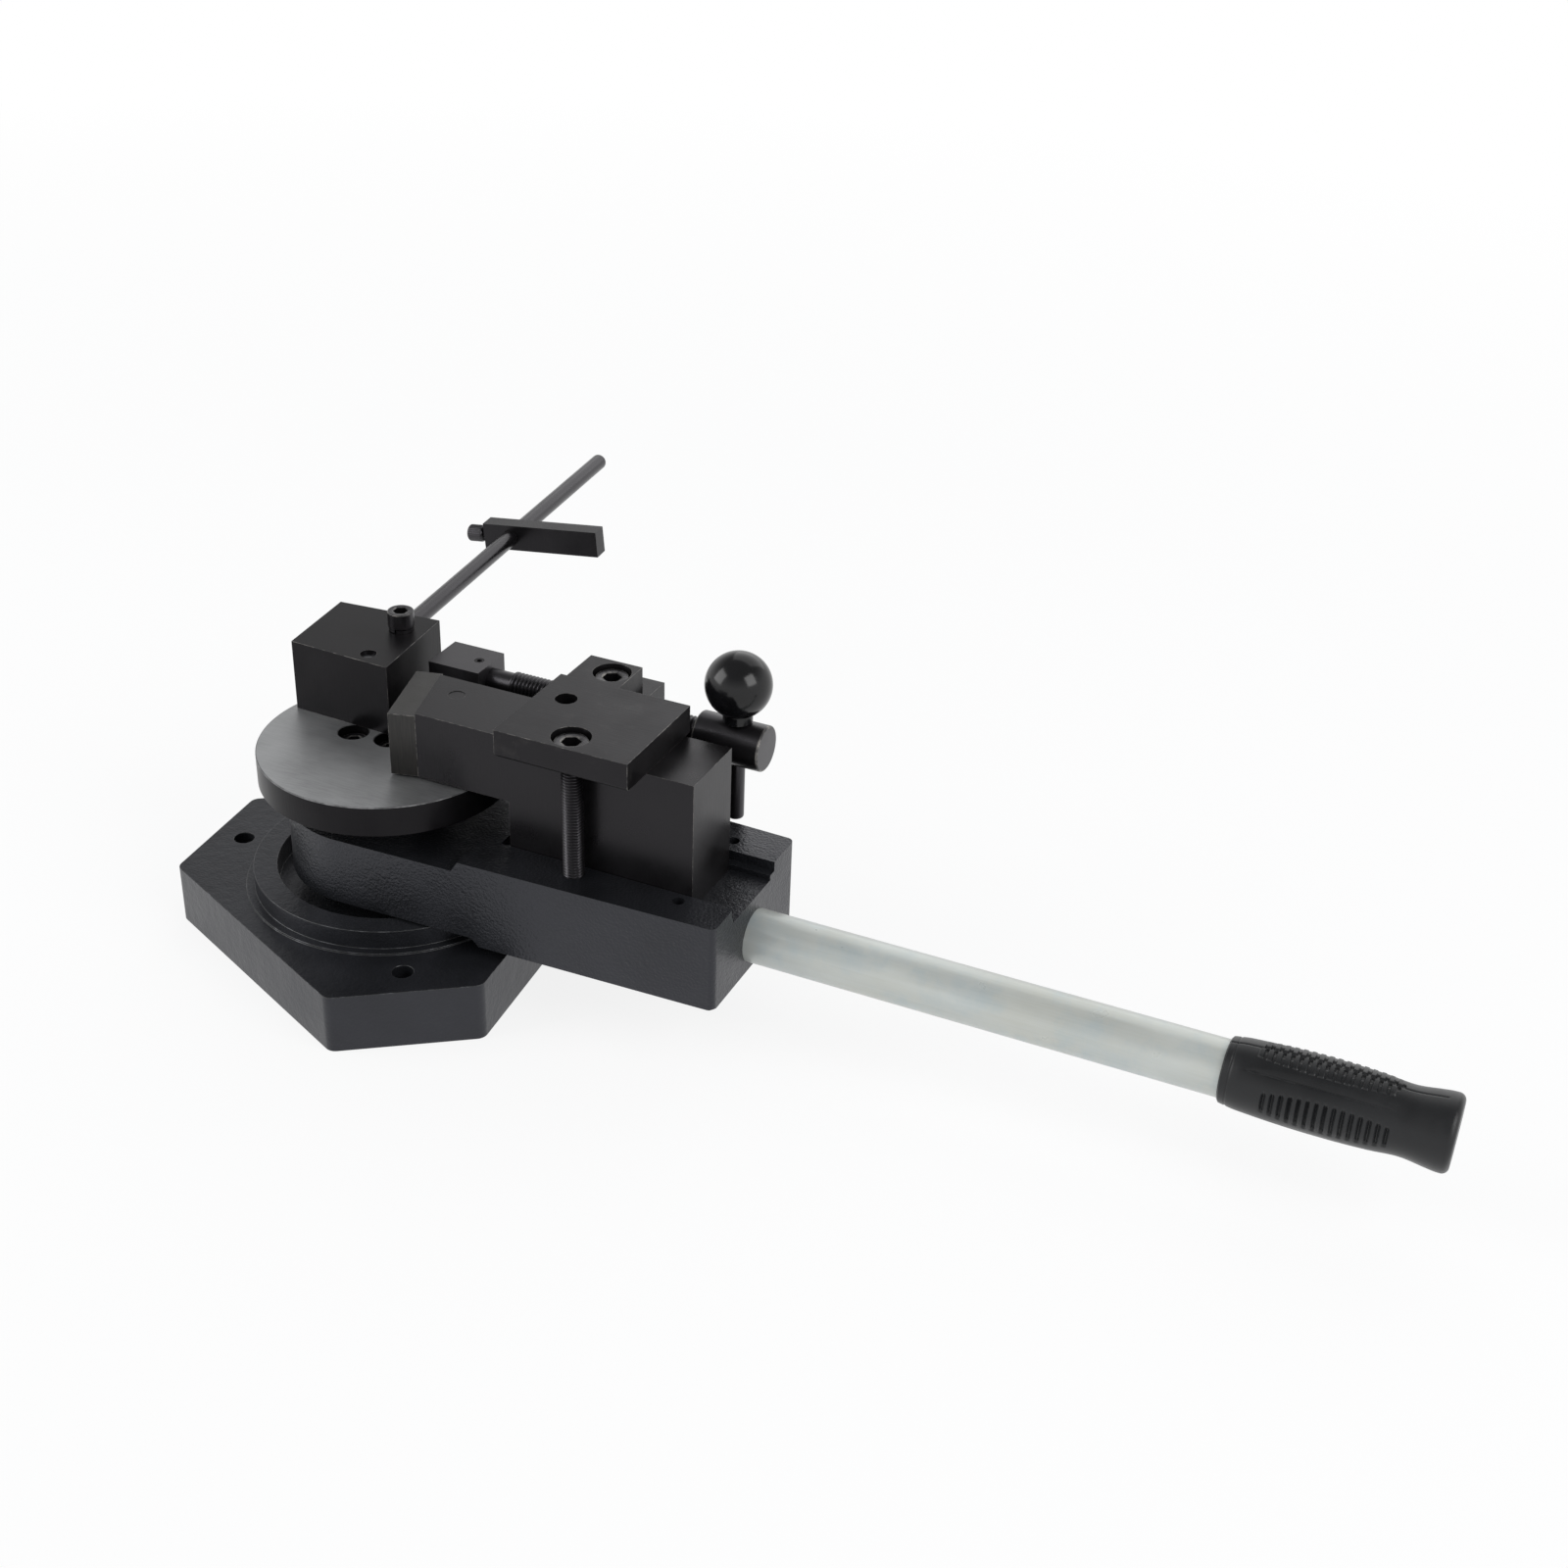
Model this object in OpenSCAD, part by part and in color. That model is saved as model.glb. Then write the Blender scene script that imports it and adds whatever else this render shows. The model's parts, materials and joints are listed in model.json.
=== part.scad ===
// Bench metal bender: a lever arm turns on a column and pushes flat stock round a fixed anvil.
// The origin is on the pivot axis at the bench. +X runs along the arm to the handle, +Z is up.
// The base, table, anvil and stop rod form the fixed group, turned a little against the arm.

/* [Base casting] */
// Length of each of the three long sides
base_long_side = 140; // [126:1:160]
// Length of each of the three short sides
base_short_side = 70; // [60:1:84]
// Thickness of the plate
base_t = 30; // [27:0.5:36]
// Radius of the upright corners
base_corner_r = 5.5; // [2:0.5:10]
// Radius of the low round step under the ring
step_r = 71.5; // [70:0.5:76]
// Height of the low round step
step_h = 1; // [0.5:0.25:2]
// Outer radius of the raised ring
ring_r = 67.4; // [64:0.2:69]
// Inner radius of the raised ring
ring_inner_r = 56; // [50:0.5:60]
// Height of the ring over the plate
ring_h = 10.5; // [9.5:0.25:12]
// Radius of the middle boss inside the ring
boss_r = 30; // [26:0.5:36]
// Radius of the three bench bolt holes
bench_hole_r = 5; // [4:0.25:6.5]
// Distance of the bench bolt holes from the pivot
bench_hole_reach = 85; // [82:0.5:90]
// Turn of the fixed group against the arm, as the arm stands
rest_turn = 5.2; // [3:0.2:7]

/* [Column and its bearing] */
// Radius of the column where the arm turns on it
shank_r = 18; // [16:0.5:20]
// Radius of the column's foot in the base
spigot_r = 12.5; // [11.5:0.25:13]
// Radius of the flange that carries the table
flange_r = 30; // [27:0.5:36]
// Thickness of the flange
flange_t = 11.7; // [9:0.1:15]
// Wall of the bronze bush in the hub
bush_wall = 4; // [2.5:0.25:5]
// Thickness of the lower thrust washer
lower_washer_t = 3; // [2:0.25:4]
// Thickness of the upper thrust washer
upper_washer_t = 2; // [1.5:0.25:3]
// Radial running clearance of the turning and screwed fits
run_gap = 0.05; // [0.02:0.01:0.1]
// Thread diameter of the bolt that pulls the column into the base
column_bolt_d = 16; // [12:1:16]
// Length of that bolt under its head
column_bolt_len = 38; // [32:1:44]
// Diameter of the dowel that stops the column from turning
column_dowel_d = 4; // [3:0.5:4]
// Length of that dowel
column_dowel_len = 12; // [8:1:14]
// Depth of the recess for that bolt's head in the base's underside
bolt_recess_depth = 14; // [13.5:0.25:15]

/* [Table] */
// Radius of the table disc
disc_r = 61; // [58:0.5:64]
// Thickness of the table disc
disc_t = 15.3; // [14:0.1:18]
// Thread diameter of the middle screw
centre_screw_d = 8; // [6:1:8]
// Length of the middle screw under its head
centre_screw_len = 25; // [20:1:28]
// Thread diameter of the two side screws
side_screw_d = 8; // [6:1:8]
// Gap between the side screws' tips and the flange's underside
side_screw_tip_gap = 1; // [0.5:0.25:3]
// Distance of the side screws from the middle screw
side_screw_reach = 19.3; // [18.5:0.1:21]
// Distance of the row of screws behind the pivot
screw_row_y = 2.8; // [0:0.1:4]
// Depth of the screws' heads under the table's top
table_screw_sink = 4; // [1:0.25:4.5]

/* [Anvil] */
// Width across the table
anvil_w = 54.5; // [48:0.5:60]
// Height over the table
anvil_h = 36.2; // [32:0.2:42]
// Distance of the working face from the pivot
anvil_face_x = 1.5; // [0.5:0.25:3]
// Distance of the bending edge behind the pivot
anvil_edge_y = 6.4; // [4:0.2:9]
// Angle of the front face's relief behind the bending edge
anvil_relief = 7.5; // [4:0.5:10]
// Distance of the rear face behind the pivot
anvil_rear_y = 61; // [57:0.5:66]
// Thread diameter of the anvil's screw
anvil_screw_d = 8; // [6:1:8]
// Length of that screw under its head
anvil_screw_len = 50; // [44:1:53]
// Place of that screw across the anvil
anvil_screw_x = -14; // [-20:0.5:-12]
// Place of that screw behind the pivot
anvil_screw_y = 45.4; // [38:0.2:48]
// Thickness of its lock washer
lock_washer_t = 2.1; // [1.5:0.1:3]
// Diameter of the anvil's dowel
anvil_dowel_d = 8; // [6:0.5:9]
// Place of the dowel behind the pivot
anvil_dowel_y = 16; // [15:0.5:24]
// Depth of the dowel's top under the anvil's top
anvil_dowel_sink = 2; // [1:0.5:6]

/* [Stop rod and finger] */
// Diameter of the rod
rod_d = 9; // [8:0.5:9.5]
// Distance of the rod from the pivot across the table
rod_x = 36.3; // [32:0.5:42]
// Height of the rod's axis over the table
rod_rise = 12.7; // [11:0.1:20]
// Length of the rod behind the anvil
rod_len = 277; // [240:1:300]
// Depth of the rod's thread in the anvil
rod_seat = 16; // [12:1:20]
// Length of the finger across the rod
finger_len = 68.5; // [58:0.5:72]
// Thickness of the finger along the rod
finger_t = 10; // [8.5:0.5:14]
// Height of the finger
finger_h = 14.5; // [13:0.5:18]
// Length of the finger's short end beyond the rod's axis
finger_tail = 16; // [10:0.5:18]
// Lift of the finger's long end, turned about the rod
finger_turn = 5.2; // [-10:0.1:10]
// Distance of the finger's near face behind the pivot
finger_y = 212; // [150:1:260]
// Thread diameter of the thumb screw
finger_screw_d = 5; // [4:0.5:5]
// Diameter of the thumb screw's head
thumb_d = 9.4; // [7:0.2:12]
// Length of the thumb screw's head
thumb_len = 9; // [6:0.5:12]
// Length of the thumb screw's neck outside the finger
thumb_neck = 1.5; // [0.5:0.25:4]

/* [Arm casting] */
// Radius of the hub
hub_r = 48.3; // [46:0.1:51]
// Height of the hub
hub_h = 34.2; // [30:0.2:38]
// Gap between the ring and the hub's underside
ring_gap = 0.8; // [0.5:0.1:1.5]
// Gap between the hub's top and the column's flange
flange_gap = 0.8; // [0.5:0.1:1.2]
// Distance of the arm's end face from the pivot
arm_reach = 193.6; // [190:0.2:205]
// Width of the arm at its end face
arm_end_w = 84.6; // [82:0.2:92]
// Height of the arm's top over the hub's top
arm_rise = 5.3; // [4:0.1:7]
// Distance of the arm's underside below the hub's underside
arm_drop = 3.8; // [2:0.1:5]
// Distance of the ramp on top from the pivot
ramp_x = 62.7; // [60:0.1:66]
// Length of the ramp on top
ramp_len = 3.3; // [2:0.1:5]
// Distance of the step on the underside from the pivot
under_step_x = 71.5; // [70:0.1:76]
// Depth of the groove in the arm's top
groove_depth = 7.3; // [6:0.1:8]
// Width of the ledge along the groove's rear wall
ledge_w = 4.5; // [3:0.1:6]
// Height of that ledge over the groove's floor
ledge_h = 2.5; // [1.5:0.1:3.5]
// Radius of the two tapped holes beside the groove
tap_hole_r = 2.9; // [2:0.1:3.4]
// Depth of those holes
tap_hole_depth = 14; // [8:1:20]
// Distance of those holes from the arm's end face
tap_hole_inset = 24.6; // [18:0.2:30]
// Distance of those holes from the arm's middle
tap_hole_y = 28.3; // [26:0.1:32]

/* [Handle] */
// Outer diameter of the tube
tube_d = 25.4; // [23:0.1:27]
// Wall of the tube
tube_wall = 3; // [1.5:0.25:4]
// Height of the tube's axis over the arm's underside
tube_rise = 15.7; // [15.2:0.1:17]
// Length of the tube inside the arm
tube_seat = 105.6; // [90:0.2:112]
// Length of bare tube between arm and grip
tube_bare = 218.4; // [180:0.2:260]
// Thread diameter of the set screw that holds the tube
tube_screw_d = 8; // [6:1:8]
// Distance of that set screw from the arm's end face
tube_screw_inset = 63.6; // [50:0.2:80]
// Length of the grip
grip_len = 96; // [86:1:120]
// Radius of the grip's lip
lip_r = 14.3; // [13.8:0.1:15.5]
// Radius of the grip's swelling
grip_r = 16.6; // [15.8:0.1:19]
// Radius of the grip's waist near its end
waist_r = 15.2; // [14.6:0.1:17]
// Radius of the grip's end flare
flare_r = 17; // [16:0.1:19]
// Thickness of the grip's closed end
grip_end_t = 5; // [3:0.5:8]
// Number of ribs under the grip
rib_count = 18; // [10:1:22]
// Height of those ribs
rib_h = 0.7; // [0.4:0.1:1]

/* [Forming block] */
// Distance of the block's front face from the arm's middle
bar_front = 22.5; // [20:0.5:23]
// Distance of the block's rear face from the arm's middle
bar_rear = 15.5; // [14:0.5:17]
// Height of the bar
bar_h = 33.2; // [31:0.2:38]
// Gap between the bar and the table
table_gap = 1; // [0.5:0.1:2]
// Distance of the foot's near face from the pivot
foot_x = 80; // [78:0.5:84]
// Distance of the bar's far face from the pivot
bar_reach = 173; // [168:0.5:176]
// Side clearance of the foot in the arm's groove
slide_gap = 0.3; // [0.1:0.05:0.5]
// Space left in the groove behind the foot for its travel
groove_spare = 5; // [4:0.5:8]

/* [Nose insert] */
// Thickness of the insert
nose_t = 13; // [11:0.5:15]
// Length of the insert
nose_len = 43; // [40:0.5:46]
// Angle of the insert across the bar
nose_turn = 15; // [10:0.5:17]
// Distance of the insert's middle from the pivot along the bar
nose_x = 20.1; // [18.5:0.1:24]
// Distance of the insert's middle from the arm's middle
nose_y = -3.4; // [-4:0.1:-3]
// Height of the insert
nose_h = 31.5; // [28:0.5:32]
// Thickness of the insert's tenon
tenon_w = 12; // [8:0.5:14]
// Height of the insert's tenon
tenon_h = 16; // [10:0.5:20]
// Length of the insert's tenon
tenon_len = 21.5; // [19.5:0.5:24]
// Clearance round the tenon
tenon_gap = 0.1; // [0.05:0.05:0.3]
// Diameter of the pin through bar and tenon
nose_pin_d = 8; // [6:0.5:9]
// Distance of that pin from the seam
nose_pin_inset = 13.3; // [12:0.1:14]

/* [Saddle and its bolts] */
// Thickness of the saddle
saddle_t = 13.5; // [12.5:0.25:16]
// Distance of the saddle's near face from the pivot
saddle_x = 84; // [82:0.5:86]
// Length of the saddle
saddle_len = 66; // [60:0.5:72]
// Distance of the saddle's front face from the arm's middle
saddle_front = 40; // [38:0.5:42]
// Length of the rear ear along the arm
ear_len = 27; // [24:0.5:32]
// Distance of the saddle's rear face from the arm's middle
saddle_rear = 20; // [18:0.5:21]
// Distance of the rear ear's face from the arm's middle
ear_rear = 43; // [40:0.5:46]
// Thread diameter of the two long bolts
saddle_bolt_d = 10; // [8:1:10]
// Length of those bolts under their heads
saddle_bolt_len = 80; // [72:1:84]
// Height of their low heads
saddle_bolt_head_h = 8; // [6:0.5:8.5]
// Depth of those heads under the saddle's top
saddle_bolt_sink = 2.2; // [1:0.1:3]
// Distance of the front bolt from the pivot along the arm
front_bolt_x = 117; // [110:0.5:125]
// Distance of the front bolt from the arm's middle
front_bolt_y = 29.5; // [29:0.5:30.5]
// Distance of the rear bolt from the pivot along the arm
rear_bolt_x = 104; // [101:0.5:106]
// Distance of the rear bolt from the arm's middle
rear_bolt_y = 32; // [31:0.25:33]
// Radius of the tapped hole in the saddle's middle
saddle_hole_r = 5.1; // [3:0.1:6]
// Distance of that hole from the pivot along the arm
saddle_hole_x = 98; // [94:0.5:104]

/* [Spindle, bracket and jaw] */
// Diameter of the spindle's thread
spindle_d = 14; // [12:0.5:15]
// Distance of the spindle's axis from the arm's middle
spindle_y = 47; // [46:0.25:48]
// Height of the spindle's axis over the bar's underside
spindle_rise = 17.7; // [15:0.1:19]
// Distance of the bracket's near face from the pivot
bracket_x = 87; // [85:0.5:88]
// Length of the bracket along the spindle
bracket_len = 31; // [28:0.5:34]
// Gap between the bar's rear side and the bracket
bracket_gap = 6.5; // [5:0.25:7.5]
// Distance of the bracket's rear face from the arm's middle
bracket_rear = 57.5; // [56:0.5:60]
// Distance of the spindle's nose tip from the pivot
nose_tip_x = 14.5; // [12:0.5:16]
// Diameter of the spindle's smooth nose
spindle_nose_d = 12; // [10:0.5:12]
// Distance of the thread's near end from the pivot
thread_x = 43; // [40:0.5:50]
// Distance of the spindle head's near face from the pivot
head_x = 142; // [140:0.5:146]
// Length of the spindle's head
head_len = 34; // [30:0.5:38]
// Diameter of the spindle's head
head_d = 22; // [20:0.5:24]
// Distance of the jaw's working face from the pivot
jaw_x = 2.4; // [2:0.1:4]
// Length of the jaw along the spindle
jaw_len = 27.6; // [26:0.2:34]
// Width of the jaw
jaw_w = 24; // [20:0.5:26]
// Height of the jaw
jaw_h = 26.7; // [26:0.1:32]
// Thread diameter of the jaw's set screw
jaw_screw_d = 5; // [4:0.5:5]
// Length of that set screw
jaw_screw_len = 4; // [3:0.25:5]
// Distance of that set screw from the jaw's right face
jaw_screw_inset = 6.6; // [5:0.1:8]
// Depth of the ring groove that its tip runs in
neck_depth = 1.4; // [1:0.1:2]

/* [Sliding bar] */
// Diameter of the bar
t_bar_d = 8; // [7:0.5:9]
// Length of the bar below the spindle's axis
t_bar_drop = 40; // [34:0.5:40.5]
// Distance of the bar from the spindle head's near face
t_bar_inset = 19; // [15:0.5:21]
// Diameter of the ball
ball_d = 31.4; // [28:0.2:34]
// Height of the collar under the ball
collar_h = 3.3; // [2:0.1:5]
// Radius of that collar
collar_r = 7; // [6:0.25:9]
// Depth of the bar's thread in the ball
ball_seat = 13; // [8:0.5:18]

/* [Hidden] */

$fn = 64;

// Overlap of a cut beyond the face that it opens
cut = 1;

// Colours of the finishes
paint = "#26272b";
black_oxide = "#2b2a2c";
ground_steel = "#8b8c8c";
nose_steel = "#5b5753";
zinc = "#b9c2c2";
rubber = "#1f2023";
phenolic = "#121214";
bronze = "#a07a45";
plain_steel = "#8e8f92";

// Heights, worked out from the bench upwards
boss_top = base_t + ring_h + ring_gap - lower_washer_t;
hub_bottom = base_t + ring_h + ring_gap;
hub_top = hub_bottom + hub_h;
arm_top = hub_top + arm_rise;
arm_bottom = hub_bottom - arm_drop;
flange_bottom = hub_top + flange_gap;
disc_bottom = flange_bottom + flange_t;
disc_top = disc_bottom + disc_t;
anvil_top = disc_top + anvil_h;
bar_bottom = disc_top + table_gap;
bar_top = bar_bottom + bar_h;
saddle_top = bar_top + saddle_t;
groove_floor = arm_top - groove_depth;
tube_z = arm_bottom + tube_rise;
rod_z = disc_top + rod_rise;
spindle_z = bar_bottom + spindle_rise;
head_top = spindle_z + head_d / 2;

// Socket screws by the usual proportions of their thread diameter
head_ratio = 0.8;
socket_ratio = 0.46;
socket_depth_ratio = 0.5;
head_chamfer_ratio = 0.06;
point_chamfer_ratio = 0.1;
set_socket_ratio = 0.28;
lock_washer_ratio = 0.76;
// Head and shank of a screw share this much height, so that they are one piece
screw_lap = 0.01;
// Radial clearance of a screw through a plain hole
screw_gap = 0.25;
// Side clearance of a screw's head in its counterbore
head_gap = 1;

// Base outline: a triangle with its corners cut off, so long and short sides take turns.
// The normals of two neighbouring sides stand one side_turn apart.
base_sides = 6;
side_turn = 360 / base_sides;
full_side = base_long_side + 2 * base_short_side;
long_d = full_side / (2 * sqrt(3));
short_d = full_side / sqrt(3) - base_short_side * sqrt(3) / 2;
function side_d(i) = (i % 2 == 0 ? long_d : short_d) - base_corner_r;
function corner_slide(i) = (side_d(i + 1) - side_d(i) * cos(side_turn)) / sin(side_turn);
function base_corner(i) =
    [side_d(i) * cos(side_turn * i) - corner_slide(i) * sin(side_turn * i),
     side_d(i) * sin(side_turn * i) + corner_slide(i) * cos(side_turn * i)];
function toward(p, a, r) = [p[0] + r * cos(a), p[1] + r * sin(a)];
base_outline = [
    for (i = [0:base_sides - 1], k = [0, 1]) toward(base_corner(i), side_turn * (i + k), base_corner_r)
];
bench_hole_turns = [side_turn, 3 * side_turn, 5 * side_turn];

// Bolt recess in the base's underside, its washer and its head in multiples of the bolt's diameter
recess_ratio = 1.25;
washer_ratio = 1.0625;
hex_head_h_ratio = 0.62;
hex_head_r_ratio = 0.866;
recess_r = column_bolt_d * recess_ratio;
column_washer_t = 3;
column_washer_r = column_bolt_d * washer_ratio;
column_head_h = column_bolt_d * hex_head_h_ratio;
column_head_r = column_bolt_d * hex_head_r_ratio;
// Gap under the column's foot, so that the bolt clamps
clamp_gap = 1;
// Inset of the lower washer's rim from the boss's rim
lower_washer_inset = 0.5;
// Depth of a tapped hole beyond its screw's tip
tap_spare = 2;
column_tap_top = bolt_recess_depth - column_washer_t + column_bolt_len + tap_spare;
column_dowel_reach = (spigot_r + shank_r) / 2;

// Table's screws
centre_head_z = disc_top - table_screw_sink - centre_screw_d;
side_head_z = disc_top - table_screw_sink - side_screw_d;
side_screw_len = side_head_z - flange_bottom - side_screw_tip_gap;

// Anvil's dowel and left face
anvil_dowel_shift = 2;
anvil_dowel_x = anvil_screw_x - anvil_dowel_shift;
anvil_dowel_seat = 12;
anvil_left = -anvil_face_x - anvil_w;

// Rounding of the stop rod's far end
rod_tip_ratio = 0.3;
rod_tip = rod_d * rod_tip_ratio;

// Side view of the arm, as points of distance and height
arm_profile = [
    [-hub_r - cut, hub_bottom],
    [under_step_x, hub_bottom],
    [under_step_x + arm_drop, arm_bottom],
    [arm_reach, arm_bottom],
    [arm_reach, arm_top],
    [ramp_x + ramp_len, arm_top],
    [ramp_x, hub_top],
    [-hub_r - cut, hub_top]
];

// Hub
bush_r = shank_r + run_gap + bush_wall;
// Overlap of the upper washer over the bush's end
washer_lap = 5.7;
upper_washer_r = bush_r + washer_lap;
upper_washer_gap = 0.2;
upper_recess_z = flange_bottom - upper_washer_gap - upper_washer_t;

// Handle
tube_start = arm_reach - tube_seat;
grip_x = arm_reach + tube_bare;
grip_end = grip_x + grip_len;
tube_screw_x = arm_reach - tube_screw_inset;
// Gap between the set screw's tip and the tube, and its sink under the groove's floor
tube_screw_gap = 0.1;
tube_screw_sink = 0.5;

// Grip's outer shape: radius against the distance from its lip
lip_len = 3;
flare_len = 9;
waist_at = grip_len - 22;
grip_profile = [
    [0, lip_r],
    [lip_len, lip_r + 0.5],
    [lip_len + 3, grip_r - 0.9],
    [grip_len * 0.2, grip_r],
    [grip_len * 0.5, grip_r],
    [grip_len * 0.65, grip_r - 0.4],
    [waist_at, waist_r],
    [waist_at + 6, waist_r + 0.1],
    [grip_len - flare_len, flare_r - 0.4],
    [grip_len - flare_len + 3, flare_r],
    [grip_len - 2.5, flare_r],
    [grip_len - 0.8, flare_r - 0.9],
    [grip_len, flare_r - 2.6]
];
rib_start = grip_len * 0.14;
rib_stop = grip_len * 0.72;
rib_pitch = (rib_stop - rib_start) / (rib_count - 1);
rib_w = rib_pitch * 0.5;
// Angle that the ribs cover round the grip
rib_sweep = 120;
// Radius inside the grip's wall where the ribs start
rib_root_r = tube_d / 2 + 1;

// Arm's groove under the block; above its ledge it is wider at the rear
groove_front = bar_front + slide_gap;
groove_rear = bar_rear + slide_gap;
groove_x = foot_x - groove_spare;
ledge_z = groove_floor + ledge_h;

// Nose: its own frame has X across the seam and Y along the insert
seam_u = nose_t / 2;
// Rise of the insert's underside over the bar's
nose_lift = 0.2;
nose_bottom = bar_bottom + nose_lift;
tenon_z = nose_bottom + (nose_h - tenon_h) / 2;
function nose_point(u, v) = [
    nose_x + u * cos(nose_turn) - v * sin(nose_turn),
    nose_y + u * sin(nose_turn) + v * cos(nose_turn)
];
// Where the seam crosses the line at distance y from the arm's middle
function seam_x(y) = nose_x + seam_u / cos(nose_turn) - (y - nose_y) * tan(nose_turn);
nose_pin_place = concat(nose_point(seam_u + nose_pin_inset, 0), [0]);
// Depth of the pin's ends under the bar's top and over the insert's underside
pin_top_sink = 0.3;
pin_foot_rise = 1;

// Saddle's bolts
saddle_bolt_places = [[front_bolt_x, -front_bolt_y, 0], [rear_bolt_x, rear_bolt_y, 0]];
saddle_head_z = saddle_top - saddle_bolt_sink - saddle_bolt_head_h;
saddle_head_r = saddle_bolt_d * head_ratio;
bracket_y = bar_rear + bracket_gap;

// Jaw
jaw_screw_x = jaw_x + jaw_len - jaw_screw_inset;
jaw_bore_spare = 0.5;
neck_r = spindle_nose_d / 2 - neck_depth;
neck_half = jaw_screw_d / 2 + 0.3;
// Gap between a set screw's tip and what it runs on or locks
tip_gap = 0.3;
t_bar_x = head_x + t_bar_inset;
ball_sit_ratio = 0.98;
ball_z = head_top + collar_h + ball_d / 2 * ball_sit_ratio;

module in_fixed_group() rotate([0, 0, rest_turn]) children();

// Block from its lowest to its highest corner
module block(low, high) translate(low) cube(high - low);

// Upright round bar or bore between two heights
module post(r, z0, z1) translate([0, 0, z0]) cylinder(r = r, h = z1 - z0);

// Round bar or bore along X between two places
module rod_along_x(r, x0, x1) translate([x0, 0, 0]) rotate([0, 90, 0]) cylinder(r = r, h = x1 - x0);

// Flat ring with its underside at z = 0
module ring(r_out, r_in, t) difference() {
    cylinder(r = r_out, h = t);
    translate([0, 0, -cut]) cylinder(r = r_in, h = t + 2 * cut);
}

// Socket head screw: the head stands on z = 0 and the shank points down
module socket_screw(d, len, head_h) difference() {
    union() {
        rotate_extrude() polygon([
            [0, 0],
            [d * head_ratio, 0],
            [d * head_ratio, head_h - d * head_chamfer_ratio],
            [d * (head_ratio - head_chamfer_ratio), head_h],
            [0, head_h]
        ]);
        rotate_extrude() polygon([
            [0, screw_lap],
            [d / 2, screw_lap],
            [d / 2, -len + d * point_chamfer_ratio],
            [d / 2 - d * point_chamfer_ratio, -len],
            [0, -len]
        ]);
    }
    translate([0, 0, head_h - d * socket_depth_ratio]) cylinder(r = d * socket_ratio, h = d, $fn = 6);
}

// Plain hole and counterbore for a socket screw whose head stands on z = 0
module screw_hole(d, len, head_h) union() {
    translate([0, 0, -len - tap_spare]) cylinder(r = d / 2 + screw_gap, h = len + tap_spare + cut);
    cylinder(r = d * head_ratio + head_gap, h = head_h);
}

// Set screw between two heights with a hexagon socket in its upper end
module set_screw(d, z0, z1) difference() {
    post(d / 2, z0, z1);
    translate([0, 0, z1 - d * socket_depth_ratio]) cylinder(r = d * set_socket_ratio, h = d, $fn = 6);
}

module base() color(paint) in_fixed_group() difference() {
    union() {
        linear_extrude(base_t) union() {
            polygon(base_outline);
            for (i = [0:base_sides - 1]) translate(base_corner(i)) circle(r = base_corner_r);
        }
        post(step_r, base_t - cut, base_t + step_h);
        difference() {
            post(ring_r, base_t - cut, base_t + ring_h);
            post(ring_inner_r, base_t, base_t + ring_h + cut);
        }
        post(boss_r, base_t - cut, boss_top);
    }
    difference() {
        post(ring_inner_r, base_t, base_t + ring_h);
        post(boss_r, base_t - cut, boss_top);
    }
    post(spigot_r, 0, boss_top + cut);
    post(recess_r, -cut, bolt_recess_depth);
    translate([column_dowel_reach, 0, 0])
        post(column_dowel_d / 2, boss_top - column_dowel_len / 2, boss_top + cut);
    for (turn = bench_hole_turns) rotate([0, 0, turn]) translate([bench_hole_reach, 0, 0])
        post(bench_hole_r, -cut, base_t + cut);
}

module column() color(plain_steel) in_fixed_group() difference() {
    union() {
        post(spigot_r, bolt_recess_depth + clamp_gap, boss_top + cut);
        post(shank_r, boss_top, flange_bottom + cut);
        post(flange_r, flange_bottom, disc_bottom);
    }
    post(column_bolt_d / 2, 0, column_tap_top);
    translate([0, screw_row_y, 0])
        post(centre_screw_d / 2, centre_head_z - centre_screw_len - tap_spare, disc_bottom + cut);
    for (side = [-1, 1]) translate([side * side_screw_reach, screw_row_y, 0])
        post(side_screw_d / 2, flange_bottom - cut, disc_bottom + cut);
    translate([column_dowel_reach, 0, 0])
        post(column_dowel_d / 2, boss_top - cut, boss_top + column_dowel_len / 2);
}

module column_bolt() color(black_oxide) in_fixed_group() union() {
    translate([0, 0, bolt_recess_depth - column_washer_t - column_head_h])
        cylinder(r = column_head_r, h = column_head_h, $fn = 6);
    post(column_bolt_d / 2, bolt_recess_depth - column_washer_t - cut,
        bolt_recess_depth - column_washer_t + column_bolt_len);
}

module column_washer() color(plain_steel) in_fixed_group()
    translate([0, 0, bolt_recess_depth - column_washer_t])
        ring(column_washer_r, column_bolt_d / 2 + screw_gap, column_washer_t);

module column_dowel() color(plain_steel) in_fixed_group() translate([column_dowel_reach, 0, 0])
    post(column_dowel_d / 2, boss_top - column_dowel_len / 2, boss_top + column_dowel_len / 2);

module lower_thrust_washer() color(bronze) in_fixed_group()
    translate([0, 0, boss_top]) ring(boss_r - lower_washer_inset, shank_r + screw_gap, lower_washer_t);

module table_disc() color(ground_steel) in_fixed_group() difference() {
    post(disc_r, disc_bottom, disc_top);
    translate([0, screw_row_y, centre_head_z]) screw_hole(centre_screw_d, disc_t, disc_t);
    for (side = [-1, 1]) translate([side * side_screw_reach, screw_row_y, side_head_z])
        screw_hole(side_screw_d, disc_t, disc_t);
    translate([anvil_screw_x, anvil_screw_y, 0])
        post(anvil_screw_d / 2, disc_bottom - cut, disc_top + cut);
    translate([anvil_dowel_x, anvil_dowel_y, 0])
        post(anvil_dowel_d / 2, disc_top - anvil_dowel_seat, disc_top + cut);
}

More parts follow.
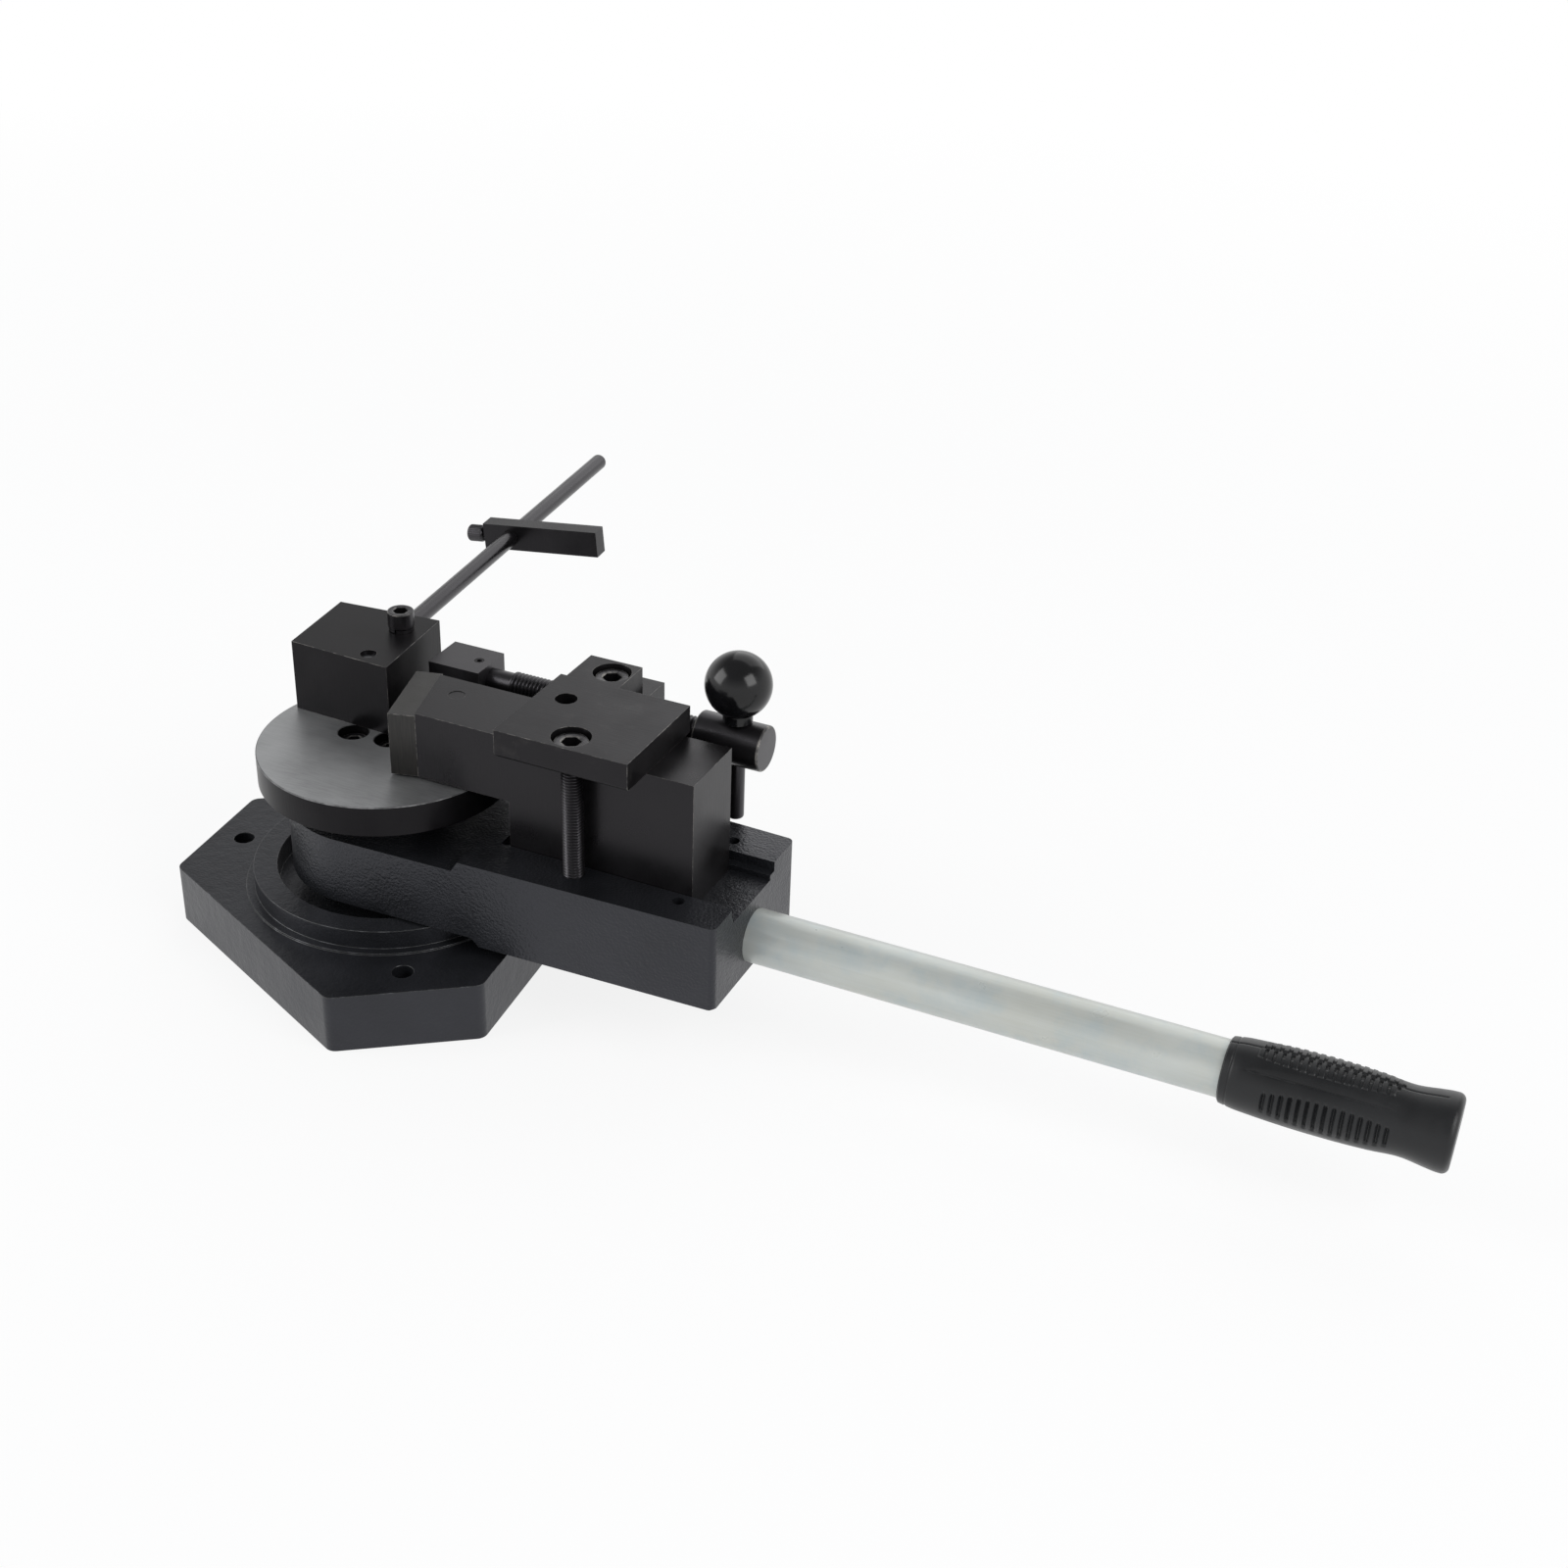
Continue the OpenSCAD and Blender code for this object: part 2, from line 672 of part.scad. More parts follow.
module table_centre_screw() color(black_oxide) in_fixed_group()
    translate([0, screw_row_y, centre_head_z])
        socket_screw(centre_screw_d, centre_screw_len, centre_screw_d);

module table_screws() color(black_oxide) in_fixed_group() for (side = [-1, 1])
    translate([side * side_screw_reach, screw_row_y, side_head_z])
        socket_screw(side_screw_d, side_screw_len, side_screw_d);

module anvil() color(black_oxide) in_fixed_group() difference() {
    translate([0, 0, disc_top]) linear_extrude(anvil_h) polygon([
        [-anvil_face_x, anvil_edge_y],
        [-anvil_face_x, anvil_rear_y],
        [anvil_left, anvil_rear_y],
        [anvil_left, anvil_edge_y + anvil_w * tan(anvil_relief)]
    ]);
    translate([anvil_screw_x, anvil_screw_y, 0])
        post(anvil_screw_d / 2 + screw_gap, disc_top - cut, anvil_top + cut);
    translate([anvil_dowel_x, anvil_dowel_y, 0])
        post(anvil_dowel_d / 2, disc_top - cut, anvil_top + cut);
    translate([-rod_x, anvil_rear_y - rod_seat, rod_z])
        rotate([-90, 0, 0]) cylinder(r = rod_d / 2, h = rod_seat + cut);
}

module anvil_screw() color(black_oxide) in_fixed_group()
    translate([anvil_screw_x, anvil_screw_y, anvil_top + lock_washer_t])
        socket_screw(anvil_screw_d, anvil_screw_len, anvil_screw_d);

module anvil_lock_washer() color(black_oxide) in_fixed_group()
    translate([anvil_screw_x, anvil_screw_y, anvil_top])
        ring(anvil_screw_d * lock_washer_ratio, anvil_screw_d / 2 + screw_gap, lock_washer_t);

module anvil_dowel() color(plain_steel) in_fixed_group() translate([anvil_dowel_x, anvil_dowel_y, 0])
    post(anvil_dowel_d / 2, disc_top - anvil_dowel_seat, anvil_top - anvil_dowel_sink);

module stop_rod() color(black_oxide) in_fixed_group()
    translate([-rod_x, anvil_rear_y - rod_seat, rod_z]) rotate([-90, 0, 0]) rotate_extrude() union() {
        square([rod_d / 2, rod_seat + rod_len - rod_tip]);
        square([rod_d / 2 - rod_tip, rod_seat + rod_len]);
        intersection() {
            translate([rod_d / 2 - rod_tip, rod_seat + rod_len - rod_tip]) circle(r = rod_tip);
            square([rod_d, rod_seat + rod_len + cut]);
        }
    }

// Finger and thumb screw stand in a frame on the rod's axis, X across the rod
module at_finger() in_fixed_group() translate([-rod_x, finger_y, rod_z]) rotate([0, -finger_turn, 0]) children();

module stop_finger() color(black_oxide) at_finger() difference() {
    block([-finger_tail, 0, -finger_h / 2], [finger_len - finger_tail, finger_t, finger_h / 2]);
    translate([0, -cut, 0]) rotate([-90, 0, 0]) cylinder(r = rod_d / 2 + run_gap, h = finger_t + 2 * cut);
    translate([0, finger_t / 2, 0]) rod_along_x(finger_screw_d / 2 + run_gap, -finger_tail - cut, 0);
}

module finger_screw() color(black_oxide) at_finger() translate([0, finger_t / 2, 0]) union() {
    rod_along_x(finger_screw_d / 2, -finger_tail - thumb_neck - cut, -rod_d / 2 - tip_gap);
    rod_along_x(thumb_d / 2, -finger_tail - thumb_neck - thumb_len, -finger_tail - thumb_neck);
}

module arm() color(paint) difference() {
    intersection() {
        translate([0, 0, arm_bottom]) linear_extrude(arm_top - arm_bottom) union() {
            circle(r = hub_r, $fn = 96);
            polygon([[0, -hub_r], [arm_reach, -arm_end_w / 2], [arm_reach, arm_end_w / 2], [0, hub_r]]);
        }
        translate([0, hub_r + cut, 0]) rotate([90, 0, 0])
            linear_extrude(2 * (hub_r + cut)) polygon(arm_profile);
    }
    post(bush_r, hub_bottom - cut, hub_top + cut);
    post(upper_washer_r + slide_gap, upper_recess_z, hub_top + cut);
    block([groove_x, -groove_front, ledge_z], [arm_reach + cut, groove_rear + ledge_w, arm_top + cut]);
    block([groove_x, -groove_front, groove_floor], [arm_reach + cut, groove_rear, ledge_z + cut]);
    translate([0, 0, tube_z]) rod_along_x(tube_d / 2, arm_reach - tube_seat, arm_reach + cut);
    translate([tube_screw_x, 0, 0]) post(tube_screw_d / 2, tube_z, groove_floor + cut);
    for (side = [-1, 1]) translate([arm_reach - tap_hole_inset, side * tap_hole_y, 0])
        post(tap_hole_r, arm_top - tap_hole_depth, arm_top + cut);
    for (place = saddle_bolt_places) translate(place)
        post(saddle_bolt_d / 2, saddle_head_z - saddle_bolt_len - tap_spare, arm_top + cut);
}

module hub_bush() color(bronze) translate([0, 0, hub_bottom])
    ring(bush_r, shank_r + run_gap, upper_recess_z - hub_bottom);

module upper_thrust_washer() color(bronze) translate([0, 0, upper_recess_z])
    ring(upper_washer_r, shank_r + screw_gap, upper_washer_t);

module handle_tube() color(zinc) translate([0, 0, tube_z]) difference() {
    rod_along_x(tube_d / 2, tube_start, grip_end - grip_end_t);
    rod_along_x(tube_d / 2 - tube_wall, tube_start - cut, grip_end - grip_end_t + cut);
}

module handle_grub_screw() color(black_oxide) translate([tube_screw_x, 0, 0])
    set_screw(tube_screw_d, tube_z + tube_d / 2 + tube_screw_gap, groove_floor - tube_screw_sink);

module handle_grip() color(rubber) translate([grip_x, 0, tube_z]) rotate([0, 90, 0]) difference() {
    union() {
        rotate_extrude() polygon(concat([[0, 0]], [for (p = grip_profile) [p[1], p[0]]], [[0, grip_len]]));
        for (i = [0:rib_count - 1]) translate([0, 0, rib_start + i * rib_pitch - rib_w / 2])
            rotate([0, 0, -rib_sweep / 2]) rotate_extrude(angle = rib_sweep) translate([rib_root_r, 0])
                square([grip_r + rib_h - rib_root_r, rib_w]);
    }
    translate([0, 0, -cut]) cylinder(r = tube_d / 2, h = grip_len - grip_end_t + cut);
}

module forming_block() color(black_oxide) difference() {
    union() {
        translate([0, 0, bar_bottom]) linear_extrude(bar_h) polygon([
            [seam_x(-bar_front), -bar_front],
            [bar_reach, -bar_front],
            [bar_reach, bar_rear],
            [seam_x(bar_rear), bar_rear]
        ]);
        block([foot_x, -bar_front, groove_floor], [bar_reach, bar_rear, bar_bottom + cut]);
    }
    at_nose() block(
        [seam_u - cut, -tenon_w / 2 - tenon_gap, tenon_z - tenon_gap],
        [seam_u + tenon_len + tenon_gap, tenon_w / 2 + tenon_gap, tenon_z + tenon_h + tenon_gap]
    );
    translate(nose_pin_place) post(nose_pin_d / 2, bar_bottom - cut, bar_top + cut);
}

module at_nose() translate([nose_x, nose_y, 0]) rotate([0, 0, nose_turn]) children();

module nose_insert() color(nose_steel) at_nose() difference() {
    union() {
        block([-seam_u, -nose_len / 2, nose_bottom], [seam_u, nose_len / 2, nose_bottom + nose_h]);
        block([0, -tenon_w / 2, tenon_z], [seam_u + tenon_len, tenon_w / 2, tenon_z + tenon_h]);
    }
    translate([seam_u + nose_pin_inset, 0, 0])
        post(nose_pin_d / 2, tenon_z - cut, tenon_z + tenon_h + cut);
}

module nose_pin() color(black_oxide) translate(nose_pin_place)
    post(nose_pin_d / 2, nose_bottom + pin_foot_rise, bar_top - pin_top_sink);

module saddle() color(black_oxide) difference() {
    union() {
        block([saddle_x, -saddle_front, bar_top], [saddle_x + saddle_len, saddle_rear, saddle_top]);
        block([bracket_x, 0, bar_top], [bracket_x + ear_len, ear_rear, saddle_top]);
    }
    for (place = saddle_bolt_places) translate([place[0], place[1], saddle_head_z])
        screw_hole(saddle_bolt_d, saddle_t, saddle_t);
    translate([saddle_hole_x, 0, 0]) post(saddle_hole_r, bar_top - cut, saddle_top + cut);
}

module saddle_bolts() color(black_oxide) for (place = saddle_bolt_places)
    translate([place[0], place[1], saddle_head_z])
        socket_screw(saddle_bolt_d, saddle_bolt_len, saddle_bolt_head_h);

module spindle_bracket() color(black_oxide) difference() {
    block([bracket_x, bracket_y, arm_top], [bracket_x + bracket_len, bracket_rear, bar_top]);
    translate([0, spindle_y, spindle_z])
        rod_along_x(spindle_d / 2 + run_gap, bracket_x - cut, bracket_x + bracket_len + cut);
    translate([rear_bolt_x, rear_bolt_y, 0])
        post(saddle_bolt_d / 2 + screw_gap, arm_top - cut, bar_top + cut);
}

module spindle() color(black_oxide) translate([0, spindle_y, spindle_z]) difference() {
    union() {
        rod_along_x(spindle_nose_d / 2, nose_tip_x, jaw_screw_x - neck_half);
        rod_along_x(neck_r, jaw_screw_x - neck_half - cut, jaw_screw_x + neck_half + cut);
        rod_along_x(spindle_nose_d / 2, jaw_screw_x + neck_half, thread_x + cut);
        rod_along_x(spindle_d / 2, thread_x, head_x + cut);
        rod_along_x(head_d / 2, head_x, head_x + head_len);
    }
    translate([t_bar_x, 0, 0]) post(t_bar_d / 2 + run_gap, -head_d / 2 - cut, head_d / 2 + cut);
}

module jaw() color(black_oxide) difference() {
    block([jaw_x, spindle_y - jaw_w / 2, bar_bottom],
        [jaw_x + jaw_len, spindle_y + jaw_w / 2, bar_bottom + jaw_h]);
    translate([0, spindle_y, spindle_z])
        rod_along_x(spindle_nose_d / 2 + run_gap, nose_tip_x - jaw_bore_spare, jaw_x + jaw_len + cut);
    translate([jaw_screw_x, spindle_y, 0]) post(jaw_screw_d / 2, spindle_z, bar_bottom + jaw_h + cut);
}

module jaw_screw() color(black_oxide) translate([jaw_screw_x, spindle_y, 0])
    set_screw(jaw_screw_d, spindle_z + neck_r + tip_gap, spindle_z + neck_r + tip_gap + jaw_screw_len);

module t_bar() color(black_oxide) translate([t_bar_x, spindle_y, 0])
    post(t_bar_d / 2, spindle_z - t_bar_drop, head_top + collar_h + ball_seat - cut);

module ball_knob() color(phenolic) translate([t_bar_x, spindle_y, 0]) difference() {
    union() {
        translate([0, 0, ball_z]) sphere(r = ball_d / 2);
        post(collar_r, head_top, ball_z);
    }
    post(t_bar_d / 2, head_top - cut, head_top + collar_h + ball_seat);
}

base();
column();
column_bolt();
column_washer();
column_dowel();
lower_thrust_washer();
table_disc();
table_centre_screw();
table_screws();
anvil();
anvil_screw();
anvil_lock_washer();
anvil_dowel();
stop_rod();
stop_finger();
finger_screw();
arm();
hub_bush();
upper_thrust_washer();
handle_tube();
handle_grub_screw();
handle_grip();
forming_block();
nose_insert();
nose_pin();
saddle();
saddle_bolts();
spindle_bracket();
spindle();
jaw();
jaw_screw();
t_bar();
ball_knob();
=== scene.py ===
"""Bench metal bender: the finishes and the fine shapes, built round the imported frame.

The frame's own axes are kept: the origin is on the pivot axis at the bench, +X runs along the arm to the
handle and +Z is up. Blender works in metres. Sizes here are in millimetres and are scaled by MM at the end,
apart from the places of the camera and the lamps and the sizes of the stage, which are in metres.
"""
import json
import math

import bmesh
import bpy
from mathutils import Matrix, Vector


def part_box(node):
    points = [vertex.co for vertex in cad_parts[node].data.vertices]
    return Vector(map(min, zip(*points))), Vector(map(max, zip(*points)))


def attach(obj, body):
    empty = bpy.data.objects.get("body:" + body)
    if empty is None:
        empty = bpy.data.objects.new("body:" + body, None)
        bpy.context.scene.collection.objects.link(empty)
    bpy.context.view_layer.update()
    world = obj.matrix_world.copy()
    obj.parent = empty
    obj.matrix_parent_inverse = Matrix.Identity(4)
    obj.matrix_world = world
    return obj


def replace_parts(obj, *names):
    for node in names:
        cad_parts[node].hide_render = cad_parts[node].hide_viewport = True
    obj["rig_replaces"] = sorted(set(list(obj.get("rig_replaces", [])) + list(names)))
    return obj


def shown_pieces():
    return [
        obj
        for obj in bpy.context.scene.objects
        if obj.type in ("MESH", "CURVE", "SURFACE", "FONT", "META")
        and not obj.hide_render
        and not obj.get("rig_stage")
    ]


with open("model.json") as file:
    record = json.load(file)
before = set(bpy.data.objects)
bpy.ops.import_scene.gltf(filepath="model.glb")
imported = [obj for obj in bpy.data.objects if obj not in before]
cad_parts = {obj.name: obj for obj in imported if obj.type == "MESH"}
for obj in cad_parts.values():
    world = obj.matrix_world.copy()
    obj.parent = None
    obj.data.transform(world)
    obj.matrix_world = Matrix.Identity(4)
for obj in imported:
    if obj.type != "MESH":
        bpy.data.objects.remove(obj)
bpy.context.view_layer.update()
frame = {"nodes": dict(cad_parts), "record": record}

MM = 0.001
NODES = frame["nodes"]
BODY_OF = {node: body for body, nodes in frame["record"]["behaviour"]["bodies"].items() for node in nodes}
SLOT_OF = {part["node"]: part["material_slot"] for part in frame["record"]["subparts"]}
JOINTS = {joint["name"]: joint for joint in frame["record"]["behaviour"]["joints"]}

# Directions in the fixed group, which is turned a little against the arm
UP = Vector((0, 0, 1))
ALONG_ARM = Vector((1, 0, 0))
ALONG_ROD = Vector(JOINTS["finger_slide"]["axis"]).normalized()
ALONG_THUMB_SCREW = Vector(JOINTS["finger_screw_turn"]["axis"]).normalized()


# Camera, at the photograph's viewing angle

CAMERA_PLACE = Vector((0.5223, -0.7371, 0.6043))
CAMERA_AZIMUTH = math.radians(-23.26)
CAMERA_DIP = math.radians(30.28)
CAMERA_ROLL = math.radians(2.17)
FOCAL_PIXELS = 2186.5
FRAME_PIXELS = 1600
SENSOR_MM = 36
CLIP_NEAR = 0.02
CLIP_FAR = 20


def aim_camera():
    """The camera looks along one direction and is turned a little about it, as in the photograph."""
    view = Vector((math.sin(CAMERA_AZIMUTH) * math.cos(CAMERA_DIP),
                   math.cos(CAMERA_AZIMUTH) * math.cos(CAMERA_DIP), -math.sin(CAMERA_DIP)))
    level = Vector((math.cos(CAMERA_AZIMUTH), -math.sin(CAMERA_AZIMUTH), 0))
    up = level.cross(view)
    right = level * math.cos(CAMERA_ROLL) + up * math.sin(CAMERA_ROLL)
    top = up * math.cos(CAMERA_ROLL) - level * math.sin(CAMERA_ROLL)
    data = bpy.data.cameras.new("camera")
    data.sensor_width = SENSOR_MM
    data.lens = FOCAL_PIXELS / FRAME_PIXELS * SENSOR_MM
    data.clip_start = CLIP_NEAR
    data.clip_end = CLIP_FAR
    camera = bpy.data.objects.new("camera", data)
    bpy.context.scene.collection.objects.link(camera)
    turn = Matrix((right, top, -view)).transposed().to_4x4()
    camera.matrix_world = Matrix.Translation(CAMERA_PLACE) @ turn
    bpy.context.scene.camera = camera


# Finishes

# Widths of the patterns in millimetres. Clouds, rubbed patches and specks are as wide as on the real pieces.
# Sand leaves a grain of 0.3 to 0.5 mm, a rubber mould one of 0.1 mm, and a cutter, grinding wheel, lathe or
# drawing die leaves lines of 0.05 to 0.2 mm. These are too fine to show in the picture and are drawn three
# to ten times as coarse.
ENAMEL_CLOUD = 30
ENAMEL_WAVE = 4.5
ENAMEL_DUST = 1.4
SAND_GRAIN = 1.3
OXIDE_CLOUD = 20
OXIDE_RUB = 9
CUTTER_LINE = 0.7
# Length of the lighter stretches along the edges, which are wear and also a painted highlight
EDGE_WEAR_AND_HIGHLIGHT = 5
EDGE_HAZE = 3
GROUND_CLOUD = 28
GROUND_SPECK = 1.6
WHEEL_SCRATCH = 0.45
NOSE_CLOUD = 9
NOSE_LINE = 0.6
ZINC_CLOUD = 14
ZINC_YELLOW = 40
ZINC_BLUE = 22
DRAW_LINE = 1.1
RUBBER_CLOUD = 18
RUBBER_GRAIN = 0.6
HAND_HAZE = 12
LATHE_RING = 0.5
LATHE_CLOUD = 8

# Heights of the same patterns in millimetres
WAVE_RELIEF = 0.06
BASE_SAND_RELIEF = 0.04
ARM_SAND_RELIEF = 0.11
CUTTER_RELIEF = 0.014
WHEEL_RELIEF = 0.01
NOSE_RELIEF = 0.02
DRAW_RELIEF = 0.012
RUBBER_RELIEF = 0.012
LATHE_RELIEF = 0.01


def srgb(code):
    """Linear colour of a hex code such as #1f2023."""
    parts = [int(code[i:i + 2], 16) / 255 for i in (1, 3, 5)]
    return tuple(c / 12.92 if c <= 0.04045 else ((c + 0.055) / 1.055) ** 2.4 for c in parts) + (1.0,)


def add(tree, kind, links=None, **settings):
    """A node of one kind with its settings. Each input named in links is set, or linked to a socket. A mix
    node's two colours are its inputs 6 and 7, and its result is output 2."""
    node = tree.nodes.new(kind)
    for name, value in settings.items():
        setattr(node, name, value)
    for name, value in (links or {}).items():
        if isinstance(value, bpy.types.NodeSocket):
            tree.links.new(value, node.inputs[name])
        else:
            node.inputs[name].default_value = value
    return node


def new_material(name):
    """An empty material and its node tree."""
    material = bpy.data.materials.new(name)
    material.use_nodes = True
    material.node_tree.nodes.clear()
    return material, material.node_tree


def finished(material, shader):
    """The material, with the shader on its surface."""
    add(material.node_tree, "ShaderNodeOutputMaterial", {"Surface": shader.outputs[0]})
    return material


def clouds(tree, width_mm, low=0.0, high=1.0, detail=3.0, drawn_out=(1, 1, 1)):
    """Soft patches about width_mm wide whose value runs from low to high. A small number in drawn_out
    stretches them along that axis, so that they become lines."""
    place = add(tree, "ShaderNodeTexCoord")
    stretched = add(tree, "ShaderNodeMapping", {"Vector": place.outputs["Object"], "Scale": drawn_out})
    noise = add(tree, "ShaderNodeTexNoise", {"Vector": stretched.outputs["Vector"], "Detail": detail,
                                             "Scale": 1 / (width_mm * MM)})
    return add(tree, "ShaderNodeMapRange", {"Value": noise.outputs["Fac"], "From Min": 0.3, "From Max": 0.7,
                                            "To Min": low, "To Max": high}).outputs["Result"]


def marks(tree, width_mm, first, full, strength=1.0):
    """Scattered marks about width_mm wide. They start where the noise passes first and are full at full."""
    place = add(tree, "ShaderNodeTexCoord")
    noise = add(tree, "ShaderNodeTexNoise", {"Vector": place.outputs["Object"], "Detail": 4.0,
                                             "Roughness": 0.65, "Scale": 1 / (width_mm * MM)})
    return add(tree, "ShaderNodeMapRange", {"Value": noise.outputs["Fac"], "From Min": first,
                                            "From Max": full, "To Max": strength}).outputs["Result"]


def sprayed_enamel(name, sand_relief):
    """Black enamel sprayed on sand-cast iron. It is an even satin black that mirrors the room softly, and
    its gloss breaks up into small waves where the sand's grain shows through."""
    material, tree = new_material(name)
    colour = add(tree, "ShaderNodeMix", {"Factor": clouds(tree, ENAMEL_CLOUD), 6: srgb("#151618"),
                                         7: srgb("#1e1f22")}, data_type="RGBA")
    dusty = add(tree, "ShaderNodeMix", {"Factor": marks(tree, ENAMEL_DUST, 0.7, 0.78, 0.5),
                                        6: colour.outputs[2], 7: srgb("#5a5b5e")}, data_type="RGBA")
    wave = add(tree, "ShaderNodeBump", {"Height": clouds(tree, ENAMEL_WAVE, detail=1.0),
                                        "Distance": WAVE_RELIEF * MM})
    sand = add(tree, "ShaderNodeBump", {"Height": clouds(tree, SAND_GRAIN, detail=1.5),
                                        "Distance": sand_relief * MM,
                                        "Normal": wave.outputs["Normal"]})
    shader = add(tree, "ShaderNodeBsdfPrincipled", {
        "Base Color": dusty.outputs[2], "Roughness": clouds(tree, ENAMEL_CLOUD, 0.28, 0.38), "IOR": 1.5,
        "Specular Tint": srgb("#f2f3ff"), "Normal": sand.outputs["Normal"]})
    return finished(material, shader)


def black_oxide(name, drawn_out, roughness, ior, rubbed=0.0):
    """Hot black oxide on machined steel. Oil in the dark skin gives it a soft, slightly brown-black sheen,
    the cutter's lines show faintly under it, and handling leaves a few greyer patches."""
    material, tree = new_material(name)
    colour = add(tree, "ShaderNodeMix", {"Factor": clouds(tree, OXIDE_CLOUD, detail=4.0), 6: srgb("#0c0b0c"),
                                         7: srgb("#151415")}, data_type="RGBA")
    patched = add(tree, "ShaderNodeMix", {"Factor": marks(tree, OXIDE_RUB, 0.56, 0.72, rubbed),
                                          6: colour.outputs[2], 7: srgb("#3a3836")}, data_type="RGBA")
    line = clouds(tree, CUTTER_LINE, detail=2.0, drawn_out=drawn_out)
    lines = add(tree, "ShaderNodeBump", {"Height": line, "Distance": CUTTER_RELIEF * MM})
    shader = add(tree, "ShaderNodeBsdfPrincipled", {
        "Base Color": patched.outputs[2], "Roughness": clouds(tree, OXIDE_CLOUD, *roughness), "IOR": ior,
        "Specular Tint": srgb("#faf6ff"), "Normal": lines.outputs["Normal"]})
    return finished(material, shader)


def worn_edge_with_painted_highlight(name, kept, bare, first, full):
    """Edge that handling has rubbed, and that is also lightened as a painted highlight. Barer metal and the
    painted highlight show in short lighter stretches between dark ones. Wear and highlight start where the
    noise passes first and are full at full."""
    material, tree = new_material(name)
    share = marks(tree, EDGE_WEAR_AND_HIGHLIGHT, first, full)
    # The lighter colour is bare metal from wear, and also a painted highlight along the edge
    colour = add(tree, "ShaderNodeMix", {"Factor": share, 6: srgb(kept), 7: srgb(bare)}, data_type="RGBA")
    metal = add(tree, "ShaderNodeMath", {0: share, 1: 0.8}, operation="MULTIPLY")
    shader = add(tree, "ShaderNodeBsdfPrincipled", {
        "Base Color": colour.outputs[2], "Roughness": clouds(tree, EDGE_HAZE, 0.3, 0.44),
        "Metallic": metal.outputs[0]})
    return finished(material, shader)


def surface_ground_steel(name):
    """Mild steel from the surface grinder. It is light grey and half matt, crossed by fine straight
    scratches, with darker clouds of oil and a few specks."""
    material, tree = new_material(name)
    pale = add(tree, "ShaderNodeMix", {"Factor": clouds(tree, GROUND_CLOUD, detail=4.0), 6: srgb("#8e8f90"),
                                       7: srgb("#a8a9aa")}, data_type="RGBA")
    specked = add(tree, "ShaderNodeMix", {"Factor": marks(tree, GROUND_SPECK, 0.68, 0.76, 0.6),
                                          6: pale.outputs[2], 7: srgb("#5c5c5e")}, data_type="RGBA")
    scratch = clouds(tree, WHEEL_SCRATCH, 0.0, 0.4, drawn_out=(0.06, 1, 1))
    lined = add(tree, "ShaderNodeMix", {"Factor": scratch, 6: specked.outputs[2], 7: srgb("#bdbebf")},
                data_type="RGBA")
    grooves = add(tree, "ShaderNodeBump", {"Height": scratch, "Distance": WHEEL_RELIEF * MM})
    shader = add(tree, "ShaderNodeBsdfPrincipled", {
        "Base Color": lined.outputs[2], "Roughness": clouds(tree, GROUND_CLOUD, 0.34, 0.46), "Metallic": 0.8,
        "Normal": grooves.outputs["Normal"]})
    return finished(material, shader)


def hardened_tool_steel(name):
    """Hardened tool steel, ground after the heat and oiled. It keeps a dark brown-grey tint, with grinding
    lines up the nose."""
    material, tree = new_material(name)
    dark = add(tree, "ShaderNodeMix", {"Factor": clouds(tree, NOSE_CLOUD, detail=4.0), 6: srgb("#0b0a09"),
                                       7: srgb("#141210")}, data_type="RGBA")
    line = clouds(tree, NOSE_LINE, 0.0, 0.5, drawn_out=(1, 1, 0.06))
    lined = add(tree, "ShaderNodeMix", {"Factor": line, 6: dark.outputs[2], 7: srgb("#2e2b28")},
                data_type="RGBA")
    grooves = add(tree, "ShaderNodeBump", {"Height": line, "Distance": NOSE_RELIEF * MM})
    shader = add(tree, "ShaderNodeBsdfPrincipled", {
        "Base Color": lined.outputs[2], "Roughness": clouds(tree, NOSE_CLOUD, 0.32, 0.42), "Metallic": 0.08,
        "Normal": grooves.outputs["Normal"]})
    return finished(material, shader)


def zinc_plate(name):
    """Bright zinc plate on drawn tube. It is a pale, cloudy silver with faint yellow and blue tints from the
    passivation, and draw lines that run along the tube."""
    material, tree = new_material(name)
    pale = add(tree, "ShaderNodeMix", {"Factor": clouds(tree, ZINC_CLOUD, detail=5.0, drawn_out=(0.3, 1, 1)),
                                       6: srgb("#b8bdba"), 7: srgb("#c8cdca")}, data_type="RGBA")
    warm = add(tree, "ShaderNodeMix", {"Factor": clouds(tree, ZINC_YELLOW, 0.0, 0.35), 6: pale.outputs[2],
                                       7: srgb("#bdb9a8")}, data_type="RGBA")
    cool = add(tree, "ShaderNodeMix", {"Factor": marks(tree, ZINC_BLUE, 0.5, 0.7, 0.5), 6: warm.outputs[2],
                                       7: srgb("#a4b6bd")}, data_type="RGBA")
    line = clouds(tree, DRAW_LINE, 0.0, 0.35, drawn_out=(0.02, 1, 1))
    lined = add(tree, "ShaderNodeMix", {"Factor": line, 6: cool.outputs[2], 7: srgb("#c8ccca")},
                data_type="RGBA")
    grooves = add(tree, "ShaderNodeBump", {"Height": line, "Distance": DRAW_RELIEF * MM})
    shader = add(tree, "ShaderNodeBsdfPrincipled", {
        "Base Color": lined.outputs[2], "Roughness": clouds(tree, ZINC_CLOUD, 0.26, 0.38), "Metallic": 0.3,
        "Normal": grooves.outputs["Normal"]})
    return finished(material, shader)


